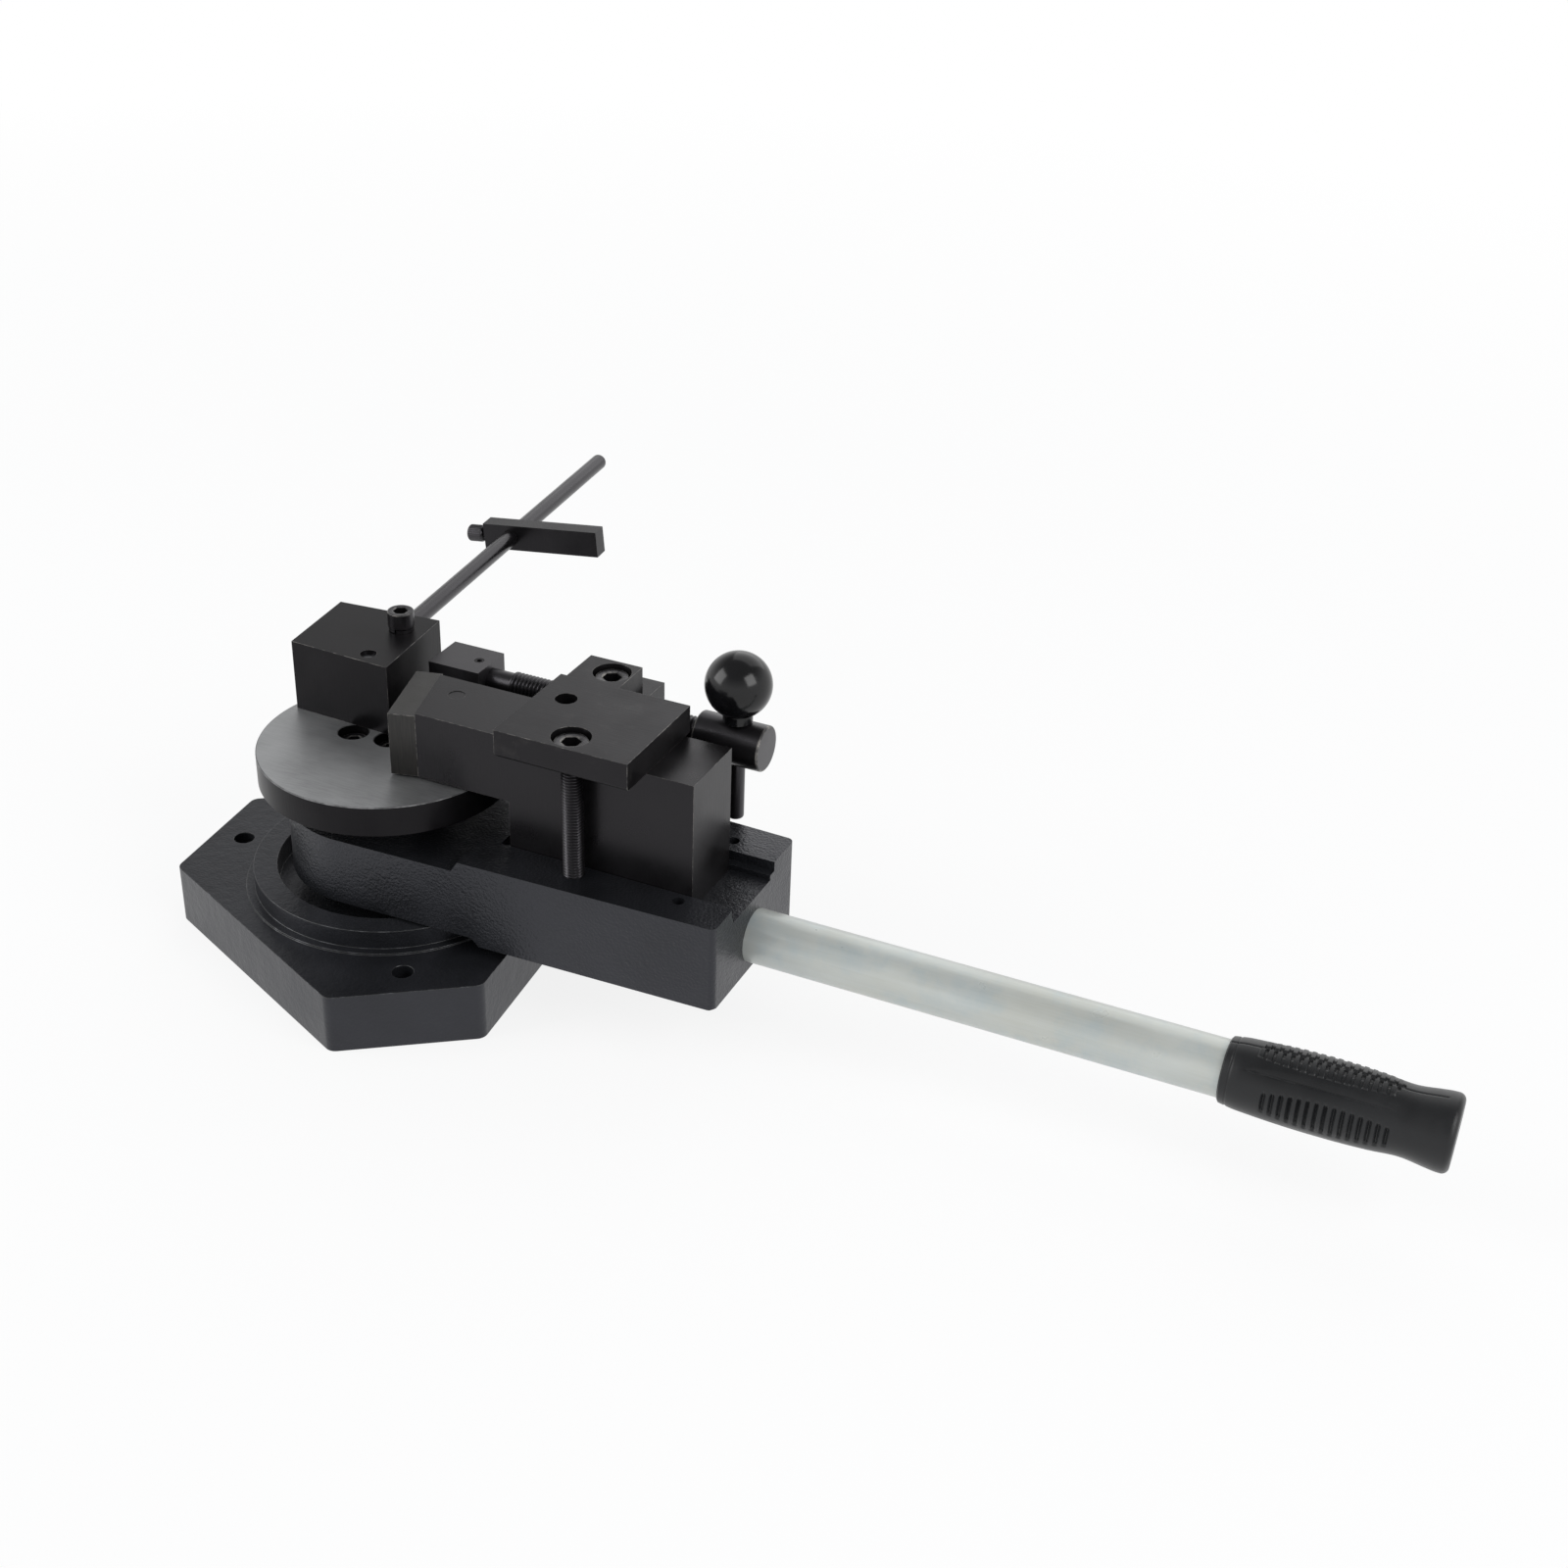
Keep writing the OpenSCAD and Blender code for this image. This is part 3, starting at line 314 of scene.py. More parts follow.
def moulded_rubber(name):
    """Black rubber from a mould. It is charcoal with a broad dull sheen and a fine matt skin."""
    material, tree = new_material(name)
    colour = add(tree, "ShaderNodeMix", {"Factor": clouds(tree, RUBBER_CLOUD), 6: srgb("#121315"),
                                         7: srgb("#191a1c")}, data_type="RGBA")
    skin = add(tree, "ShaderNodeBump", {"Height": clouds(tree, RUBBER_GRAIN, detail=2.0),
                                        "Distance": RUBBER_RELIEF * MM})
    shader = add(tree, "ShaderNodeBsdfPrincipled", {
        "Base Color": colour.outputs[2], "Roughness": clouds(tree, RUBBER_CLOUD, 0.34, 0.44), "IOR": 1.43,
        "Sheen Weight": 0.1, "Sheen Roughness": 0.4, "Normal": skin.outputs["Normal"]})
    return finished(material, shader)


def polished_phenolic(name):
    """Phenolic resin from a polished mould. It is a deep black gloss, hazed a little by hands."""
    material, tree = new_material(name)
    colour = add(tree, "ShaderNodeMix", {"Factor": clouds(tree, HAND_HAZE), 6: srgb("#0b0b0c"),
                                         7: srgb("#131315")}, data_type="RGBA")
    shader = add(tree, "ShaderNodeBsdfPrincipled", {
        "Base Color": colour.outputs[2], "Roughness": clouds(tree, HAND_HAZE, 0.13, 0.2), "IOR": 1.42})
    return finished(material, shader)


def turned_bare_metal(name, dark, pale):
    """Metal left bare from the lathe, with fine bright rings round its axis."""
    material, tree = new_material(name)
    ring = clouds(tree, LATHE_RING, detail=2.0, drawn_out=(0.1, 0.1, 1))
    colour = add(tree, "ShaderNodeMix", {"Factor": ring, 6: srgb(dark), 7: srgb(pale)}, data_type="RGBA")
    grooves = add(tree, "ShaderNodeBump", {"Height": ring, "Distance": LATHE_RELIEF * MM})
    shader = add(tree, "ShaderNodeBsdfPrincipled", {
        "Base Color": colour.outputs[2], "Roughness": clouds(tree, LATHE_CLOUD, 0.28, 0.4), "Metallic": 1.0,
        "Normal": grooves.outputs["Normal"]})
    return finished(material, shader)


def make_finishes():
    """Every finish on the machine, by a plain name."""
    return {
        "base paint": sprayed_enamel("black_enamel_on_cast_base", BASE_SAND_RELIEF),
        "arm paint": sprayed_enamel("black_enamel_on_cast_arm", ARM_SAND_RELIEF),
        # The edge finishes are lighter than their faces, partly from wear and partly as a painted highlight
        # along the edge
        "paint edge": worn_edge_with_painted_highlight("enamel_edge_wear_and_painted_highlight", "#222325", "#616265", 0.48, 0.7),
        "black": black_oxide("black_oxide_on_milled_steel", (1, 1, 0.08), (0.26, 0.36), 1.36),
        "deep black": black_oxide("thick_black_oxide_on_tool_steel", (1, 1, 0.08), (0.28, 0.36), 1.24),
        "pale black": black_oxide("thin_black_oxide_on_milled_steel", (1, 1, 0.08), (0.3, 0.4), 1.6),
        "handled black": black_oxide("black_oxide_rubbed_by_hands", (0.08, 1, 1), (0.26, 0.38), 1.32, 0.25),
        "turned black": black_oxide("black_oxide_on_turned_steel", (1, 0.1, 0.1), (0.24, 0.34), 1.55),
        "black edge": worn_edge_with_painted_highlight("black_oxide_edge_wear_and_painted_highlight", "#242324", "#8a8783", 0.46, 0.68),
        "ground": surface_ground_steel("surface_ground_steel_table"),
        "ground edge": worn_edge_with_painted_highlight("ground_steel_edge", "#4c4c4d", "#8e8e8f", 0.4, 0.65),
        "nose": hardened_tool_steel("hardened_tool_steel_nose"),
        "zinc": zinc_plate("bright_zinc_plate_on_tube"),
        "rubber": moulded_rubber("moulded_black_rubber"),
        "ball": polished_phenolic("polished_phenolic_resin"),
        "bare": turned_bare_metal("turned_bare_steel", "#5c5d60", "#7c7d80"),
        "bronze": turned_bare_metal("turned_bearing_bronze", "#8d6a3a", "#b08a52"),
    }


FINISH_OF_SLOT = {
    "painted_casting": "base paint",
    "blackened_steel": "black",
    "ground_steel": "ground",
    "nose_steel": "nose",
    "turned_steel": "bare",
    "bearing_bronze": "bronze",
    "zinc_plated_tube": "zinc",
    "grip_rubber": "rubber",
    "ball_phenolic": "ball",
}
FINISH_OF_NODE = {"jaw_screw": "deep black"}


# Meshes

SMOOTH_BELOW = math.radians(32)
SHARP_ABOVE = math.radians(28)
JOIN_WITHIN = 0.002
FLAT_WITHIN = math.radians(0.6)


def put(name, work, node, finish_names):
    """The bmesh, which is in millimetres, as a finished piece in place of a CAD node."""
    bmesh.ops.scale(work, vec=(MM,) * 3, verts=work.verts)
    for face in work.faces:
        face.smooth = True
    for edge in work.edges:
        edge.smooth = len(edge.link_faces) == 2 and edge.calc_face_angle(0) < SMOOTH_BELOW
    mesh = bpy.data.meshes.new(name)
    work.to_mesh(mesh)
    work.free()
    for finish_name in finish_names:
        mesh.materials.append(finish[finish_name])
    piece = bpy.data.objects.new(name, mesh)
    bpy.context.scene.collection.objects.link(piece)
    flat_faces = piece.modifiers.new("flat_faces", "WEIGHTED_NORMAL")
    flat_faces.keep_sharp = True
    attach(piece, BODY_OF[node])
    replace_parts(piece, node)
    return piece


def box_mm(node):
    """Lowest and highest corner of a CAD node in millimetres."""
    low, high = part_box(node)
    return Vector(low) / MM, Vector(high) / MM


def copy_in_mm(node):
    """The CAD node's mesh as a bmesh in millimetres, with its split corners joined and flat faces whole."""
    work = bmesh.new()
    work.from_mesh(NODES[node].data)
    bmesh.ops.scale(work, vec=(1 / MM,) * 3, verts=work.verts)
    bmesh.ops.remove_doubles(work, verts=work.verts, dist=JOIN_WITHIN)
    bmesh.ops.dissolve_limit(work, angle_limit=FLAT_WITHIN, verts=work.verts, edges=work.edges,
                             use_dissolve_boundaries=False)
    bmesh.ops.recalc_face_normals(work, faces=work.faces)
    return work


def round_edges(work, radius, segments=2, wanted=None, finish_number=1):
    """Rounds the sharp edges, or those that wanted picks. The new faces take the finish of that number."""
    sharp = [edge for edge in work.edges if len(edge.link_faces) == 2
             and edge.calc_face_angle(0) > SHARP_ABOVE and (wanted is None or wanted(edge))]
    if sharp:
        bmesh.ops.bevel(work, geom=sharp, offset=radius, offset_type="OFFSET", segments=segments,
                        profile=0.5, affect="EDGES", clamp_overlap=True, material=finish_number,
                        loop_slide=True)


def dress(node, radius, finish_names, segments=2):
    """The CAD node's shape with its edges rounded, its faces in the first finish and edges in the second."""
    work = copy_in_mm(node)
    round_edges(work, radius, segments)
    return put("dressed_" + node, work, node, finish_names)


def turned(rings, around=48):
    """Closed bmesh through rings (radius, height) or (radius, height, finish number of the band below).
    A radius is a number or a function of the angle."""
    work = bmesh.new()
    rows = []
    for ring in rings:
        radius, height = ring[:2]
        if radius == 0:
            rows.append([work.verts.new((0, 0, height))])
            continue
        row = []
        for i in range(around):
            angle = 2 * math.pi * i / around
            reach = radius(angle) if callable(radius) else radius
            row.append(work.verts.new((reach * math.cos(angle), reach * math.sin(angle), height)))
        rows.append(row)
    for low, high, ring in zip(rows, rows[1:], rings[1:]):
        for i in range(around):
            j = (i + 1) % around
            corners = [low[i % len(low)], low[j % len(low)], high[j % len(high)], high[i % len(high)]]
            corners = [v for k, v in enumerate(corners) if v not in corners[:k]]
            if len(corners) > 2:
                work.faces.new(corners).material_index = ring[2] if len(ring) > 2 else 0
    for row in (rows[0], rows[-1]):
        if len(row) > 1:
            work.faces.new(row)
    bmesh.ops.recalc_face_normals(work, faces=work.faces)
    return work


def arc_rows(radius, height, edge, start_deg, stop_deg, steps=4, finish_number=0):
    """Rings round an edge of radius edge, whose middle is at (radius, height). Only the bands between these
    rings take the finish number."""
    angles = [math.radians(start_deg + (stop_deg - start_deg) * k / steps) for k in range(steps + 1)]
    return [(radius + edge * math.cos(t), height + edge * math.sin(t), finish_number if k else 0)
            for k, t in enumerate(angles)]


def hexagon(across_flats):
    """Radius of a hexagon at an angle."""
    return lambda angle: across_flats / 2 / math.cos((angle + math.pi / 6) % (math.pi / 3) - math.pi / 6)


# Depth and run-out of a thread, as shares of its pitch
THREAD_DEPTH = 0.54
THREAD_RUNOUT = 0.6
ROWS_PER_TURN = 8


def thread_rows(radius, pitch, low, high):
    """Rings of a rounded V thread between two heights. It runs out to the plain radius at both ends."""
    count = max(2, round((high - low) / pitch * ROWS_PER_TURN))
    rows = []
    for n in range(count + 1):
        height = low + (high - low) * n / count
        fade = min(1, (height - low) / (THREAD_RUNOUT * pitch), (high - height) / (THREAD_RUNOUT * pitch))

        def reach(angle, height=height, depth=THREAD_DEPTH * pitch * max(0, fade)):
            turn = height / pitch - angle / (2 * math.pi)
            return radius - depth * (0.5 + 0.5 * math.cos(2 * math.pi * turn))
        rows.append((reach, height))
    return rows


def set_along(work, place, axis=UP):
    """Turns the bmesh from +Z to an axis and moves it to a place."""
    turn = UP.rotation_difference(axis).to_matrix().to_4x4()
    bmesh.ops.transform(work, matrix=Matrix.Translation(place) @ turn, verts=work.verts)
    return work


def join(works):
    """One bmesh that holds them all."""
    whole = works[0]
    for other in works[1:]:
        mesh = bpy.data.meshes.new("part")
        other.to_mesh(mesh)
        other.free()
        whole.from_mesh(mesh)
        bpy.data.meshes.remove(mesh)
    return whole


# Castings and milled pieces

CASTING_EDGE = 1.2
ARM_CORNER = 3.0
ARM_CORNER_MIN_HEIGHT = 5.0
SADDLE_EDGE = 0.7
SADDLE_LOWER_EDGE = 1.8
TABLE_EDGE = 0.5
TABLE_RIM_DEPTH = 1.0
NOSE_EDGE = 0.6

# A point this near to a face's plane lies on it, and a face with this much of its normal along +Z faces up
ON_FACE = 0.1
FACING_UP = 0.99

# Node, radius of its edges and finish
MILLED_PIECES = (
    ("anvil", 0.7, "deep black"),
    ("forming_block", 0.6, "black"),
    ("spindle_bracket", 0.7, "black"),
    ("jaw", 0.5, "pale black"),
    ("stop_finger", 0.4, "black"),
)


def make_arm():
    """The casting, with larger corners on its end face than along its other edges."""
    end = box_mm("arm")[1].x
    work = copy_in_mm("arm")

    def is_end_corner(edge):
        first, second = (vertex.co for vertex in edge.verts)
        return min(first.x, second.x) > end - ON_FACE and abs(first.z - second.z) > ARM_CORNER_MIN_HEIGHT
    round_edges(work, ARM_CORNER, segments=4, wanted=is_end_corner, finish_number=0)
    round_edges(work, CASTING_EDGE, segments=3)
    put("cast_arm", work, "arm", ["arm paint", "paint edge"])


def make_saddle():
    """The clamping plate, whose lower front edge is more rounded than the rest."""
    low, high = box_mm("saddle")
    work = copy_in_mm("saddle")

    def is_lower_front(edge):
        first, second = (vertex.co for vertex in edge.verts)
        return max(first.y, second.y) < low.y + ON_FACE and max(first.z, second.z) < (low.z + high.z) / 2
    round_edges(work, SADDLE_LOWER_EDGE, segments=4, wanted=is_lower_front, finish_number=0)
    round_edges(work, SADDLE_EDGE)
    put("clamping_saddle", work, "saddle", ["handled black", "black edge"])


def make_table():
    """The round table: only its top is ground, and its side and holes keep the black."""
    top = box_mm("table_disc")[1].z
    work = copy_in_mm("table_disc")
    round_edges(work, TABLE_EDGE)
    for face in work.faces:
        height = face.calc_center_median().z
        on_top = face.normal.z > FACING_UP and height > top - ON_FACE
        on_rim = face.material_index == 1 and height > top - TABLE_RIM_DEPTH
        if not on_top and not on_rim:
            face.material_index = 2
    put("round_table", work, "table_disc", ["ground", "ground edge", "deep black"])


# Socket screws. The ratios are shares of the thread's diameter, and those of the tip of the shank's radius.

HEAD_RADIUS_RATIO = 0.8
HEAD_EDGE_RATIO = 0.07
HEAD_FLAT_RATIO = 0.5
HEAD_CHAMFER = 0.3
SOCKET_RATIO = 0.8
SOCKET_DEPTH_RATIO = 0.5
SOCKET_CHAMFER_RATIO = 0.04
SOCKET_POINT = 0.6
SCREW_FOOT_RATIO = 0.1
SCREW_TIP_RATIO = 0.82
SCREW_BEVEL_RATIO = 0.86
SCREW_BEVEL = 0.02
SCREW_NECK = 0.2
SCREW_THREAD_STOP = 0.3

# Node, thread, height of head, pitch, and where in the node's plan each screw stands, from 0 to 1
SOCKET_SCREWS = (
    ("saddle_bolts", 10, 8, 1.5, ((1, 0), (0, 1))),
    ("anvil_screw", 8, 8, 1.25, ((0.5, 0.5),)),
    ("table_centre_screw", 8, 8, 1.25, ((0.5, 0.5),)),
    ("table_screws", 8, 8, 1.25, ((0, 0), (1, 1))),
)


def socket_screw(diameter, length, head_height, pitch):
    """Socket head screw: the head stands on z = 0, the threaded shank points down."""
    radius = diameter / 2
    head_radius = diameter * HEAD_RADIUS_RATIO
    socket = hexagon(diameter * SOCKET_RATIO)
    floor = head_height - diameter * SOCKET_DEPTH_RATIO
    edge = diameter * HEAD_EDGE_RATIO
    rings = [(0, -length), (radius * SCREW_TIP_RATIO, -length),
             (radius * SCREW_BEVEL_RATIO, -length + SCREW_BEVEL)]
    rings += thread_rows(radius, pitch, -length + diameter * SCREW_FOOT_RATIO, -SCREW_THREAD_STOP)
    rings += [(radius, -SCREW_NECK), (radius, 0), (head_radius - HEAD_CHAMFER, 0),
              (head_radius, HEAD_CHAMFER)]
    rings += arc_rows(head_radius - edge, head_height - edge, edge, 0, 90, finish_number=1)
    rings += [(diameter * HEAD_FLAT_RATIO, head_height),
              (socket, head_height - diameter * SOCKET_CHAMFER_RATIO, 1), (socket, floor),
              (0, floor - SOCKET_POINT)]
    return turned(rings)


def make_socket_screws(node, diameter, head_height, pitch, corners):
    """The screws of one node."""
    low, high = box_mm(node)
    inset = Vector((1, 1, 0)) * diameter * HEAD_RADIUS_RATIO
    first, last = low + inset, high - inset
    under_head = high.z - head_height
    screws = []
    for share_x, share_y in corners:
        place = (first.x + (last.x - first.x) * share_x, first.y + (last.y - first.y) * share_y, under_head)
        screws.append(set_along(socket_screw(diameter, under_head - low.z, head_height, pitch), place))
    put("threaded_" + node, join(screws), node, ["turned black", "black edge"])


LOCK_WASHER_HOLE_R = 4.3
LOCK_WASHER_GAP = math.radians(9)
LOCK_WASHER_RISE_RATIO = 0.2
LOCK_WASHER_STEPS = 60


def make_lock_washer():
    """Split spring washer, one end a little higher than the other."""
    low, high = box_mm("anvil_lock_washer")
    middle = (low + high) / 2
    radius = (high.x - low.x) / 2
    rise = (high.z - low.z) * LOCK_WASHER_RISE_RATIO
    thick = high.z - low.z - rise
    work = bmesh.new()
    rows = []
    for n in range(LOCK_WASHER_STEPS + 1):
        share = n / LOCK_WASHER_STEPS
        angle = LOCK_WASHER_GAP + (2 * math.pi - LOCK_WASHER_GAP) * share - math.pi / 2
        bottom = low.z + rise * share
        corners = ((LOCK_WASHER_HOLE_R, bottom), (radius, bottom), (radius, bottom + thick),
                   (LOCK_WASHER_HOLE_R, bottom + thick))
        rows.append([work.verts.new((middle.x + r * math.cos(angle), middle.y + r * math.sin(angle), z))
                     for r, z in corners])
    for row, following in zip(rows, rows[1:]):
        for k in range(4):
            work.faces.new((row[k], row[(k + 1) % 4], following[(k + 1) % 4], following[k]))
    work.faces.new(rows[0])
    work.faces.new(rows[-1])
    bmesh.ops.recalc_face_normals(work, faces=work.faces)
    put("split_lock_washer", work, "anvil_lock_washer", ["turned black"])


# Turned pieces. Rings RING_GAP apart make a sharp step.

RING_GAP = 0.1
SPINDLE_NOSE_R = 6.0
SPINDLE_NOSE_CHAMFER = 0.8
SPINDLE_R = 7.0
SPINDLE_THREAD_START = 43.0
SPINDLE_THREAD_LEAD = 0.6
SPINDLE_THREAD_CHAMFER = 0.7
SPINDLE_NECK_LEN = 1.5
SPINDLE_NECK_DEPTH = 0.9
SPINDLE_HEAD_LEN = 34.0
SPINDLE_HEAD_EDGE = 1.0
SPINDLE_PITCH = 2.0


def make_spindle():
    """Screw with a smooth nose, a rounded thread and a round head."""
    low, high = box_mm("spindle")
    middle = (low + high) / 2
    head_r = (high.z - low.z) / 2
    head_at = high.x - SPINDLE_HEAD_LEN
    neck_at = head_at - SPINDLE_NECK_LEN
    neck_r = SPINDLE_R - SPINDLE_NECK_DEPTH
    edge = SPINDLE_HEAD_EDGE
    rings = [(0, low.x), (SPINDLE_NOSE_R - SPINDLE_NOSE_CHAMFER, low.x),
             (SPINDLE_NOSE_R, low.x + SPINDLE_NOSE_CHAMFER),
             (SPINDLE_NOSE_R, SPINDLE_THREAD_START - SPINDLE_THREAD_LEAD),
             (SPINDLE_R - SPINDLE_THREAD_CHAMFER, SPINDLE_THREAD_START)]
    rings += thread_rows(SPINDLE_R, SPINDLE_PITCH, SPINDLE_THREAD_START + RING_GAP, neck_at)
    rings += [(neck_r, neck_at + RING_GAP), (neck_r, head_at - RING_GAP / 2)]
    rings += arc_rows(head_r - edge, head_at + edge, edge, -90, 0, finish_number=1)
    rings += [(head_r, high.x - edge)] + arc_rows(head_r - edge, high.x - edge, edge, 0, 90, finish_number=1)
    rings += [(0, high.x)]
    work = set_along(turned(rings, around=56), (0, middle.y, middle.z), ALONG_ARM)
    put("threaded_spindle", work, "spindle", ["turned black", "black edge"])


BAR_DOME = 1.2
BAR_CHAMFER = 0.5
BALL_COLLAR_R = 7.0
BALL_COLLAR_CHAMFER = 0.6
BALL_START_RATIO = 0.97
BALL_COLLAR_TOP_RATIO = 0.93


def make_cross_bar():
    """Plain bar with a domed lower end."""
    low, high = box_mm("t_bar")
    middle = (low + high) / 2
    radius = (high.x - low.x) / 2
    rings = [(0, low.z)] + arc_rows(radius - BAR_DOME, low.z + BAR_DOME, BAR_DOME, -90, 0)
    rings += [(radius, high.z - BAR_CHAMFER), (radius - BAR_CHAMFER, high.z), (0, high.z)]
    put("sliding_bar", set_along(turned(rings), (middle.x, middle.y, 0)), "t_bar", ["turned black"])


def make_ball():
    """The ball, on the short collar that it is screwed on with."""
    low, high = box_mm("ball_knob")
    middle = (low + high) / 2
    radius = (high.x - low.x) / 2
    centre = high.z - radius
    start = math.degrees(math.asin(BALL_COLLAR_R * BALL_START_RATIO / radius)) - 90
    rings = [(0, low.z), (BALL_COLLAR_R - BALL_COLLAR_CHAMFER, low.z),
             (BALL_COLLAR_R, low.z + BALL_COLLAR_CHAMFER),
             (BALL_COLLAR_R, centre - radius * BALL_COLLAR_TOP_RATIO)]
    rings += arc_rows(0, centre, radius, start, 90, steps=40)[:-1] + [(0, high.z)]
    work = set_along(turned(rings, around=72), (middle.x, middle.y, 0))
    put("black_ball", work, "ball_knob", ["ball"])


ROD_THREAD_LEN = 31.0
ROD_PITCH = 1.25
ROD_TIP_RATIO = 0.3
ROD_CHAMFER = 0.3
ROD_CORE_RATIO = 0.8


def make_stop_rod():
    """Long rod, threaded where it enters the anvil and domed at its free end."""
    low, high = box_mm("stop_rod")
    middle = (low + high) / 2
    radius = (high.z - low.z) / 2
    half = ((high.y - low.y) / 2 - radius * abs(ALONG_ROD.x)) / ALONG_ROD.y
    tip = 2 * radius * ROD_TIP_RATIO
    rings = [(0, -half), (radius * ROD_CORE_RATIO, -half)]
    rings += thread_rows(radius, ROD_PITCH, -half + ROD_CHAMFER, -half + ROD_THREAD_LEN)
    rings += [(radius, -half + ROD_THREAD_LEN + ROD_CHAMFER), (radius, half - tip)]
    rings += arc_rows(radius - tip, half - tip, tip, 0, 90, steps=6) + [(0, half)]
    work = set_along(turned(rings, around=36), middle, ALONG_ROD)
    put("threaded_stop_rod", work, "stop_rod", ["turned black"])


THUMB_HEAD_LEN = 9.0
THUMB_HEAD_R = 4.7
THUMB_HEAD_CHAMFER = 0.6
THUMB_SHANK_R = 2.5
THUMB_CORE_RATIO = 0.8
THUMB_CHAMFER = 0.3
THUMB_THREAD_GAP = 0.2
THUMB_PITCH = 0.8
THUMB_KNURLS = 30
KNURL_DEPTH = 0.22
KNURL_INSET = 0.2
KNURL_END = 1.0


def make_thumb_screw():
    """The finger's screw: a head knurled along its length and a fine thread."""
    low, high = box_mm("finger_screw")
    middle = (low + high) / 2
    spread = 2 * THUMB_HEAD_R * math.hypot(ALONG_THUMB_SCREW.y, ALONG_THUMB_SCREW.z)
    half = (high.x - low.x - spread / 2) / 2 / ALONG_THUMB_SCREW.x

    def knurled(angle):
        return THUMB_HEAD_R - KNURL_DEPTH * (0.5 + 0.5 * math.cos(THUMB_KNURLS * angle))
    head_end = -half + THUMB_HEAD_LEN
    rim_r = THUMB_HEAD_R - KNURL_INSET
    end_r = rim_r - THUMB_HEAD_CHAMFER
    rings = [(0, -half), (end_r, -half), (rim_r, -half + THUMB_HEAD_CHAMFER)]
    rings += [(knurled, -half + KNURL_END), (knurled, head_end - KNURL_END)]
    rings += [(rim_r, head_end - THUMB_HEAD_CHAMFER), (end_r, head_end), (THUMB_SHANK_R, head_end)]
    rings += thread_rows(THUMB_SHANK_R, THUMB_PITCH, head_end + THUMB_THREAD_GAP, half - THUMB_CHAMFER)
    rings += [(THUMB_SHANK_R * THUMB_CORE_RATIO, half), (0, half)]
    work = set_along(turned(rings, around=120), middle, ALONG_THUMB_SCREW)
    put("knurled_thumb_screw", work, "finger_screw", ["turned black"])


# Moulded grip: its radius is a function of the distance from the lip and of the angle from the top

GRIP_LIP_R = 14.3
GRIP_LIP_EDGE = 0.7
GRIP_LIP_INSET = 0.8
GRIP_SWELL_R = 16.6
GRIP_WAIST_R = 15.2
GRIP_WAIST_FROM_END = 20
GRIP_FLARE_R = 17.0
GRIP_END_EDGE = 3.0
GRIP_END_STEPS = 8
GRIP_PLAIN_END = 6
GRIP_MOUTH_DEPTH = 2.0
GRIP_BORE_CLEARANCE = 0.05

# Parting line along the grip and seam round its lip
GRIP_SEAM_AT = 3.6
GRIP_LINE_W = 0.5
GRIP_LINE_DEPTH = 0.3
LINE_FLOOR_SHARE = 0.4
LINE_SIDE_SHARE = 0.8
SEAM_FLOOR = 0.1

# Two rows of blocks along the top, with notches between them
BLOCK_PITCH = 3.6
BLOCK_COUNT = 16
BLOCK_SHARE = 0.6
BLOCK_RISE = 0.6
BLOCK_EDGE = 0.35
BLOCK_FIRST = 13.0
BLOCK_REACH = math.radians(27)
BLOCK_END_ANGLE = 0.03
BLOCK_REACH_AT_ENDS = 0.45
NOTCH_START = 0.3
NOTCH_FADE = 0.25
NOTCH_DEPTH_RATIO = 1.3

# Shallow wedge below the blocks
WEDGE_START = 9.0
WEDGE_STOP = 72.0
WEDGE_ANGLE = math.radians(47)
WEDGE_WIDTH = math.radians(14)
WEDGE_DEPTH = 1.1
WEDGE_EDGE_SHARE = 0.15

# Ribs on both sides, at the pitch of the blocks
RIB_FIRST = 18.0
RIB_COUNT = 15
RIB_TOP = math.radians(62)
RIB_BOTTOM = math.radians(118)
RIB_DEPTH = 1.4
RIB_GROOVE_SHARE = 0.72
RIB_END_ANGLE = 0.12
RIB_BAND_AT_ENDS = 0.35

# Fineness of the grip's mesh
GRIP_ROWS = 280
FINE_STEP = math.radians(1.6)
FINE_REACH = math.radians(125)
COARSE_STEP = math.radians(5)


def step_up(value, at, width):
    """0 below at, 1 above at + width, and a smooth rise between them."""
    share = min(1, max(0, (value - at) / width))
    return share * share * (3 - 2 * share)


def lens(value, start, stop):
    """0 at start and stop and 1 midway between them, as the outline of a lens."""
    share = (value - start) / (stop - start)
    return math.sqrt(max(0, 4 * share * (1 - share)))


def smooth_through(points, at):
    """Smooth curve through points (distance, radius), evaluated at one distance."""
    k = max(i for i, point in enumerate(points[:-1]) if point[0] <= at or i == 0)
    (x0, y0), (x1, y1) = points[k], points[k + 1]
    before, after = points[max(k - 1, 0)], points[min(k + 2, len(points) - 1)]
    slope0 = (y1 - before[1]) / (x1 - before[0])
    slope1 = (after[1] - y0) / (after[0] - x0)
    width = x1 - x0
    t = (at - x0) / width
    return ((2 * t ** 3 - 3 * t ** 2 + 1) * y0 + (t ** 3 - 2 * t ** 2 + t) * width * slope0
            + (3 * t ** 2 - 2 * t ** 3) * y1 + (t ** 3 - t ** 2) * width * slope1)


def grip_outline(at, length):
    """Radius of the grip's plain shape: a lip, a long swelling, a waist and a flared end."""
    waist_at = length - GRIP_WAIST_FROM_END
    points = [(0, GRIP_LIP_R), (3, GRIP_LIP_R + 0.5), (8, GRIP_SWELL_R - 1.1),
              (length * 0.3, GRIP_SWELL_R - 0.1), (length * 0.5, GRIP_SWELL_R),
              (length * 0.66, GRIP_SWELL_R - 0.5), (waist_at, GRIP_WAIST_R),
              (length - 9, GRIP_FLARE_R - 0.5), (length - 5, GRIP_FLARE_R - 0.05),
              (length, GRIP_FLARE_R - 0.1)]
    return smooth_through(points, at)


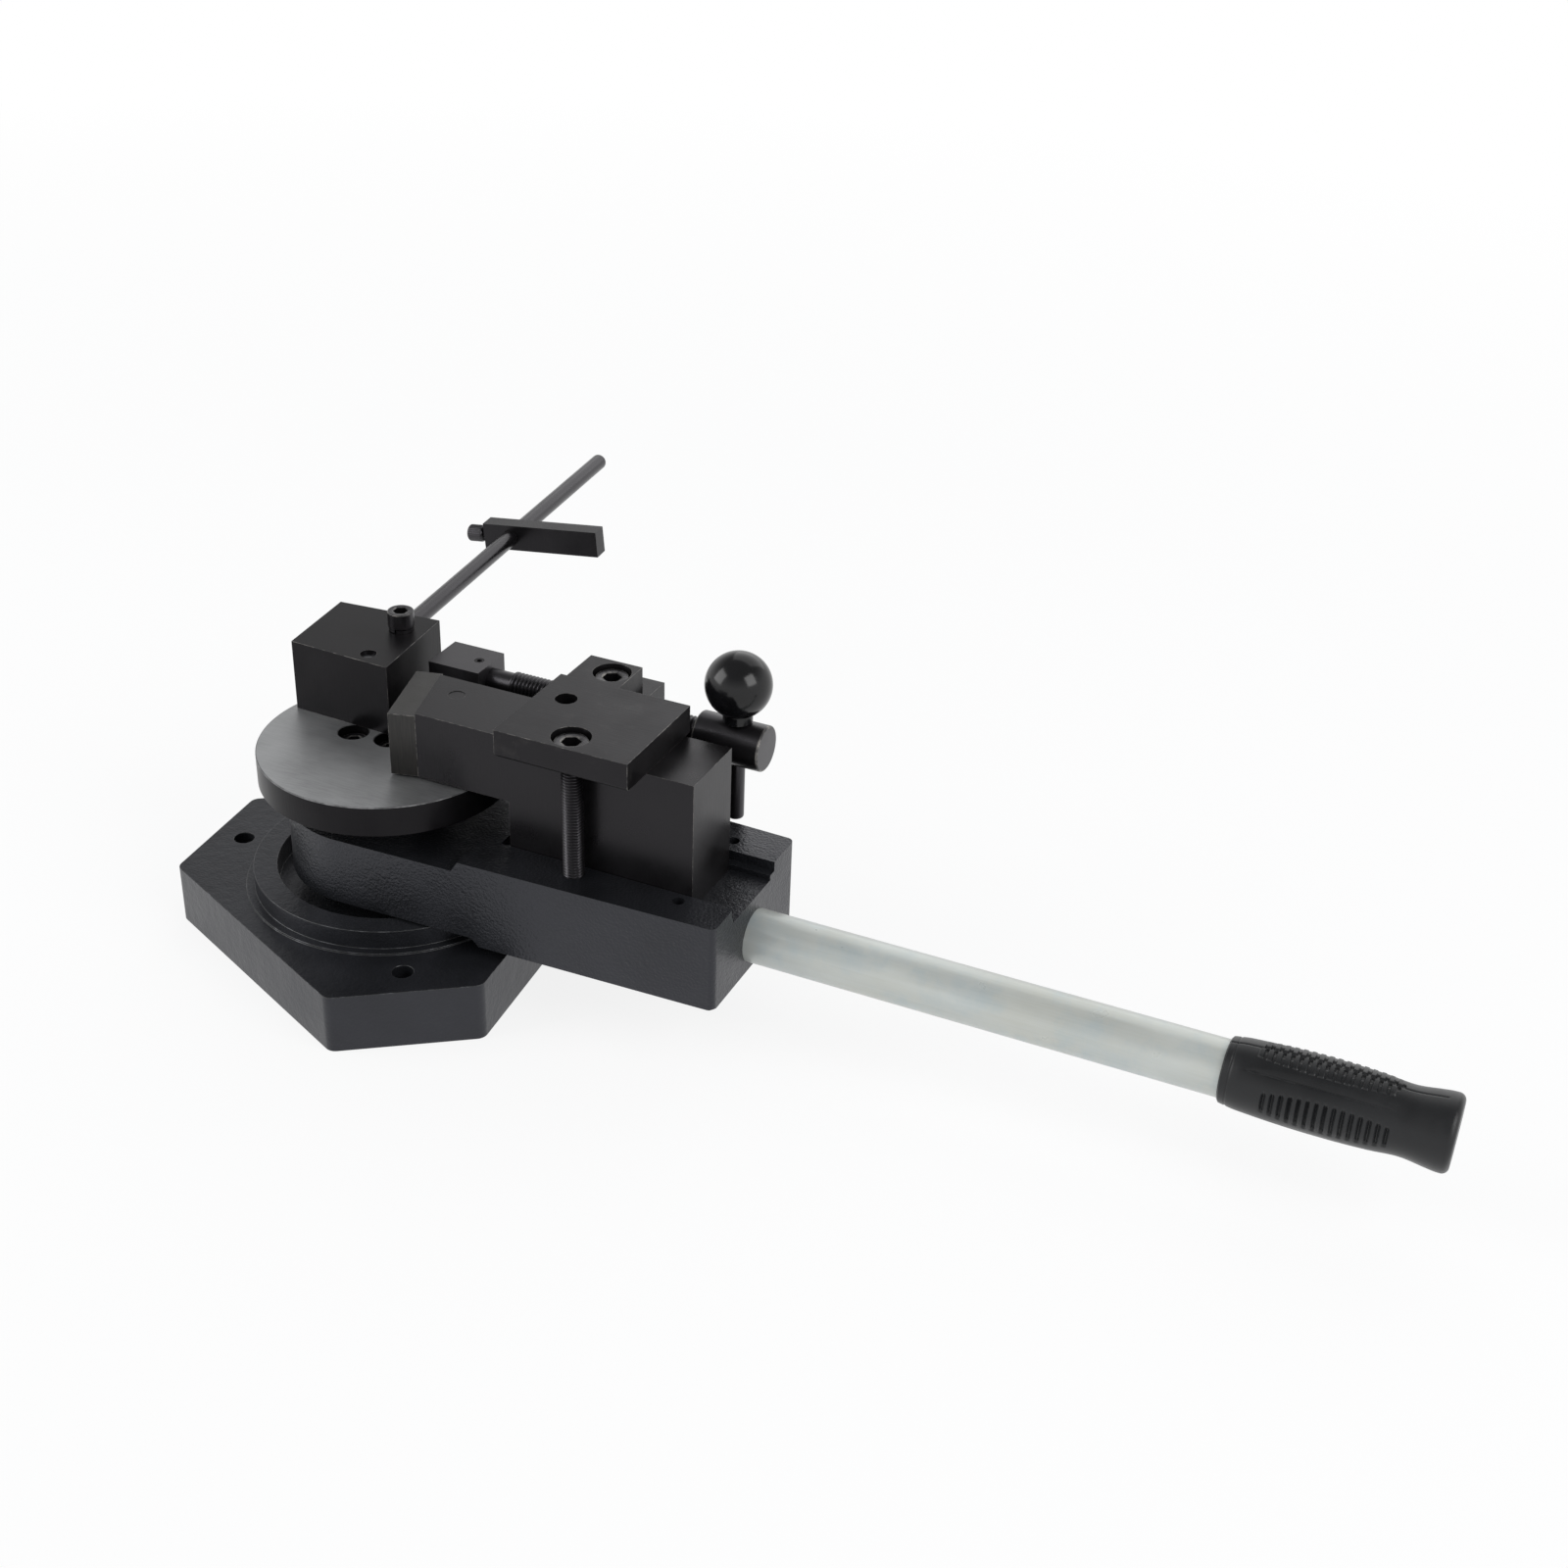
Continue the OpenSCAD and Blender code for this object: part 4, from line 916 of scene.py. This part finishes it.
def line_relief(at, side, line_angle):
    """The parting line along the top and the underside, and the seam round the lip."""
    from_line = min(side, math.pi - side)
    parting = 1 - step_up(from_line, line_angle * LINE_FLOOR_SHARE, line_angle * LINE_SIDE_SHARE)
    seam = 1 - step_up(abs(at - GRIP_SEAM_AT), SEAM_FLOOR, GRIP_LINE_W)
    return -GRIP_LINE_DEPTH * (parting + seam)


def block_relief(at, angle, line_angle):
    """A row of blocks on each side of the parting line, half a pitch apart, with notches between them."""
    side = abs(angle)
    shift = 0.5 if angle < 0 else 0.0
    turns = (at - BLOCK_FIRST) / BLOCK_PITCH - shift
    if not 0 <= turns < BLOCK_COUNT:
        return 0
    phase = (turns % 1) * BLOCK_PITCH
    wide = BLOCK_PITCH * BLOCK_SHARE
    on_block = step_up(phase, 0, BLOCK_EDGE) * (1 - step_up(phase, wide, BLOCK_EDGE))
    swell = lens(turns, -1, BLOCK_COUNT + 1)
    reach = BLOCK_REACH * (BLOCK_REACH_AT_ENDS + (1 - BLOCK_REACH_AT_ENDS) * swell)
    in_row = step_up(side, line_angle, line_angle) * (1 - step_up(side, reach, BLOCK_END_ANGLE))
    in_notch = 1 - step_up(side, reach * NOTCH_START, reach * NOTCH_FADE)
    return BLOCK_RISE * (in_row * on_block - in_notch * (1 - on_block) * NOTCH_DEPTH_RATIO)


def wedge_relief(at, side):
    """The shallow wedge below the blocks, deepest at its lower edge."""
    if not WEDGE_START < at < WEDGE_STOP:
        return 0
    opening = WEDGE_WIDTH * lens(at, WEDGE_START, WEDGE_STOP)
    down = 1 + (side - WEDGE_ANGLE) / opening
    if not 0 < down < 1:
        return 0
    edge = 1 - step_up(down, 1 - WEDGE_EDGE_SHARE, WEDGE_EDGE_SHARE)
    return -WEDGE_DEPTH * (opening / WEDGE_WIDTH) * down * edge


def rib_relief(at, side):
    """The rounded grooves between the ribs. They are longest in the middle of the row."""
    ribs = (at - RIB_FIRST) / BLOCK_PITCH
    if not 0 <= ribs < RIB_COUNT:
        return 0
    band = RIB_BAND_AT_ENDS + (1 - RIB_BAND_AT_ENDS) * lens(ribs, -1, RIB_COUNT + 1)
    middle = (RIB_TOP + RIB_BOTTOM) / 2
    half = (RIB_BOTTOM - RIB_TOP) / 2 * band
    in_band = 1 - step_up(abs(side - middle), half - RIB_END_ANGLE, RIB_END_ANGLE)
    across = min(1, ribs % 1 / RIB_GROOVE_SHARE)
    return -RIB_DEPTH * in_band * math.sin(math.pi * across) ** 2


def grip_relief(at, angle, radius):
    """Height of the moulded pattern over the plain shape, at an angle from the top."""
    side = abs(angle)
    line_angle = GRIP_LINE_W / radius
    return (line_relief(at, side, line_angle) + block_relief(at, angle, line_angle)
            + wedge_relief(at, side) + rib_relief(at, side))


def grip_angles():
    """Angles round the grip, measured from its top: fine where the pattern is, coarse underneath."""
    fine = [k * FINE_STEP for k in range(-int(FINE_REACH / FINE_STEP), int(FINE_REACH / FINE_STEP) + 1)]
    rest = 2 * math.pi - (fine[-1] - fine[0])
    count = round(rest / COARSE_STEP)
    return fine + [fine[-1] + rest * k / count for k in range(1, count)]


def grip_sections(length):
    """Distance from the lip and inset of each section, along the side and then round the closed end."""
    side_length = length - GRIP_END_EDGE - GRIP_LIP_EDGE
    sections = [(0.0, GRIP_LIP_INSET)]
    for n in range(GRIP_ROWS + 1):
        sections.append((GRIP_LIP_EDGE + side_length * n / GRIP_ROWS, 0.0))
    for k in range(1, GRIP_END_STEPS + 1):
        turn = math.radians(90 * k / GRIP_END_STEPS)
        from_end, inset = GRIP_END_EDGE * (1 - math.sin(turn)), GRIP_END_EDGE * (1 - math.cos(turn))
        sections.append((length - from_end, inset))
    return sections


def make_grip():
    """The grip as one moulded skin over the tube, with a rounded closed end."""
    low, high = box_mm("handle_grip")
    tube_low, tube_high = box_mm("handle_tube")
    length = high.x - low.x
    centre_z = (tube_low.z + tube_high.z) / 2
    bore = (tube_high.z - tube_low.z) / 2 + GRIP_BORE_CLEARANCE
    angles = grip_angles()
    work = bmesh.new()
    rows = []
    for at, inset in grip_sections(length):
        row = []
        for angle in angles:
            turn = (angle + math.pi) % (2 * math.pi) - math.pi
            plain = grip_outline(at, length)
            radius = plain - inset + grip_relief(at, turn, plain) * (at < length - GRIP_PLAIN_END)
            across, above = -radius * math.sin(turn), radius * math.cos(turn)
            row.append(work.verts.new((low.x + at, across, centre_z + above)))
        rows.append(row)
    mouth = []
    for at in (0.0, GRIP_MOUTH_DEPTH):
        mouth.append([work.verts.new((low.x + at, -bore * math.sin(a), centre_z + bore * math.cos(a)))
                      for a in angles])
    rows = mouth[::-1] + rows
    for row, following in zip(rows, rows[1:]):
        for i in range(len(angles)):
            j = (i + 1) % len(angles)
            work.faces.new((row[i], row[j], following[j], following[i]))
    work.faces.new(rows[-1])
    work.faces.new(rows[0])
    bmesh.ops.recalc_face_normals(work, faces=work.faces)
    put("moulded_grip", work, "handle_grip", ["rubber"])


# Stage, in metres. The floor leaves room for the machine's shadow within SHADOW_REACH of its middle and is
# white from WHITE_FROM on. The backdrop is white up to HORIZON_BELOW and has dimmed to its ceiling at
# CEILING_ABOVE, both given as the height of the direction of view. Each lamp has its place, width and watts.

FLOOR_SIZE = 8.0
FLOOR_DROP = 0.0002
FLOOR_GLOW = 0.85
SHADOW_REACH = 0.7
WHITE_FROM = 1.8
HORIZON_BELOW = 0.2
CEILING_ABOVE = 0.7
CEILING_STRENGTH = 0.3
DOME_COLOUR = (0.95, 0.97, 1.0, 1)
DOME_STRENGTH = 0.45
WHITE = (1, 1, 1, 1)
LAMP_TARGET = Vector((0.12, 0.05, 0.08))
LAMPS = (
    ("left_softbox", (-1.5, -1.0, 1.2), 1.4, 22),
    ("right_softbox", (1.8, -0.4, 1.3), 1.2, 18),
    ("back_softbox", (0.1, 1.8, 1.5), 2.3, 14),
)


def rays_that_show_white(tree):
    """1 for rays that see the background straight, in a reflection or through glass, 0 for the others."""
    path = add(tree, "ShaderNodeLightPath")
    seen = add(tree, "ShaderNodeMath", {0: path.outputs["Is Camera Ray"], 1: path.outputs["Is Glossy Ray"]},
               operation="MAXIMUM")
    either = add(tree, "ShaderNodeMath", {0: seen.outputs[0], 1: path.outputs["Is Transmission Ray"]},
                 operation="MAXIMUM")
    return either.outputs[0]


def make_floor():
    """Pale paper floor that glows where it is seen. It keeps the machine's soft shadow near the middle and
    turns as white as the backdrop towards its rim, so that no edge shows."""
    work = bmesh.new()
    bmesh.ops.create_grid(work, x_segments=1, y_segments=1, size=FLOOR_SIZE / 2)
    mesh = bpy.data.meshes.new("floor")
    work.to_mesh(mesh)
    work.free()
    material, tree = new_material("white_paper_floor")
    paper = add(tree, "ShaderNodeBsdfDiffuse", {"Color": srgb("#f4f4f4")})
    glow = add(tree, "ShaderNodeEmission", {"Color": WHITE, "Strength": 1.0})
    place = add(tree, "ShaderNodeTexCoord")
    distance = add(tree, "ShaderNodeVectorMath", {0: place.outputs["Object"]}, operation="LENGTH")
    whiteness = add(tree, "ShaderNodeMapRange", {
        "Value": distance.outputs["Value"], "From Min": SHADOW_REACH, "From Max": WHITE_FROM,
        "To Min": FLOOR_GLOW, "To Max": 1.0})
    share = add(tree, "ShaderNodeMath", {0: rays_that_show_white(tree), 1: whiteness.outputs["Result"]},
                operation="MULTIPLY")
    mesh.materials.append(finished(material, add(tree, "ShaderNodeMixShader", {
        0: share.outputs[0], 1: paper.outputs[0], 2: glow.outputs[0]})))
    floor = bpy.data.objects.new("floor", mesh)
    floor.location = (0, 0, -FLOOR_DROP)
    bpy.context.scene.collection.objects.link(floor)
    floor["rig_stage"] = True


def make_studio():
    """White backdrop that fades to a dim ceiling overhead, a dim dome for the shadows and soft lamps."""
    world = bpy.data.worlds.new("studio")
    world.use_nodes = True
    tree = world.node_tree
    tree.nodes.clear()
    dome = add(tree, "ShaderNodeBackground", {"Color": DOME_COLOUR, "Strength": DOME_STRENGTH})
    direction = add(tree, "ShaderNodeTexCoord")
    height = add(tree, "ShaderNodeSeparateXYZ", {"Vector": direction.outputs["Generated"]})
    backdrop = add(tree, "ShaderNodeMapRange", {
        "Value": height.outputs["Z"], "From Min": HORIZON_BELOW, "From Max": CEILING_ABOVE, "To Min": 1.0,
        "To Max": CEILING_STRENGTH})
    white = add(tree, "ShaderNodeBackground", {"Color": WHITE, "Strength": backdrop.outputs["Result"]})
    mixed = add(tree, "ShaderNodeMixShader", {0: rays_that_show_white(tree), 1: dome.outputs[0],
                                              2: white.outputs[0]})
    add(tree, "ShaderNodeOutputWorld", {"Surface": mixed.outputs[0]})
    bpy.context.scene.world = world
    for name, place, size, watts in LAMPS:
        data = bpy.data.lights.new(name, "AREA")
        data.size = size
        data.energy = watts
        lamp = bpy.data.objects.new(name, data)
        lamp.location = place
        lamp.rotation_euler = (LAMP_TARGET - Vector(place)).to_track_quat("-Z", "Y").to_euler()
        bpy.context.scene.collection.objects.link(lamp)
    bpy.context.scene.view_settings.view_transform = "Standard"


aim_camera()
make_floor()
make_studio()
finish = make_finishes()

dress("base", CASTING_EDGE, ["base paint", "paint edge"], segments=3)
make_arm()
make_table()
for milled_node, edge_radius, milled_finish in MILLED_PIECES:
    dress(milled_node, edge_radius, [milled_finish, "black edge"])
dress("nose_insert", NOSE_EDGE, ["nose", "black edge"])
make_saddle()
for screw in SOCKET_SCREWS:
    make_socket_screws(*screw)
make_lock_washer()
make_spindle()
make_cross_bar()
make_ball()
make_stop_rod()
make_thumb_screw()
make_grip()

shown = {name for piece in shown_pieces() for name in piece.get("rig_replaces", [])}
for node, solid in NODES.items():
    if node not in shown:
        solid.data.materials.clear()
        solid.data.materials.append(finish[FINISH_OF_NODE.get(node, FINISH_OF_SLOT[SLOT_OF[node]])])
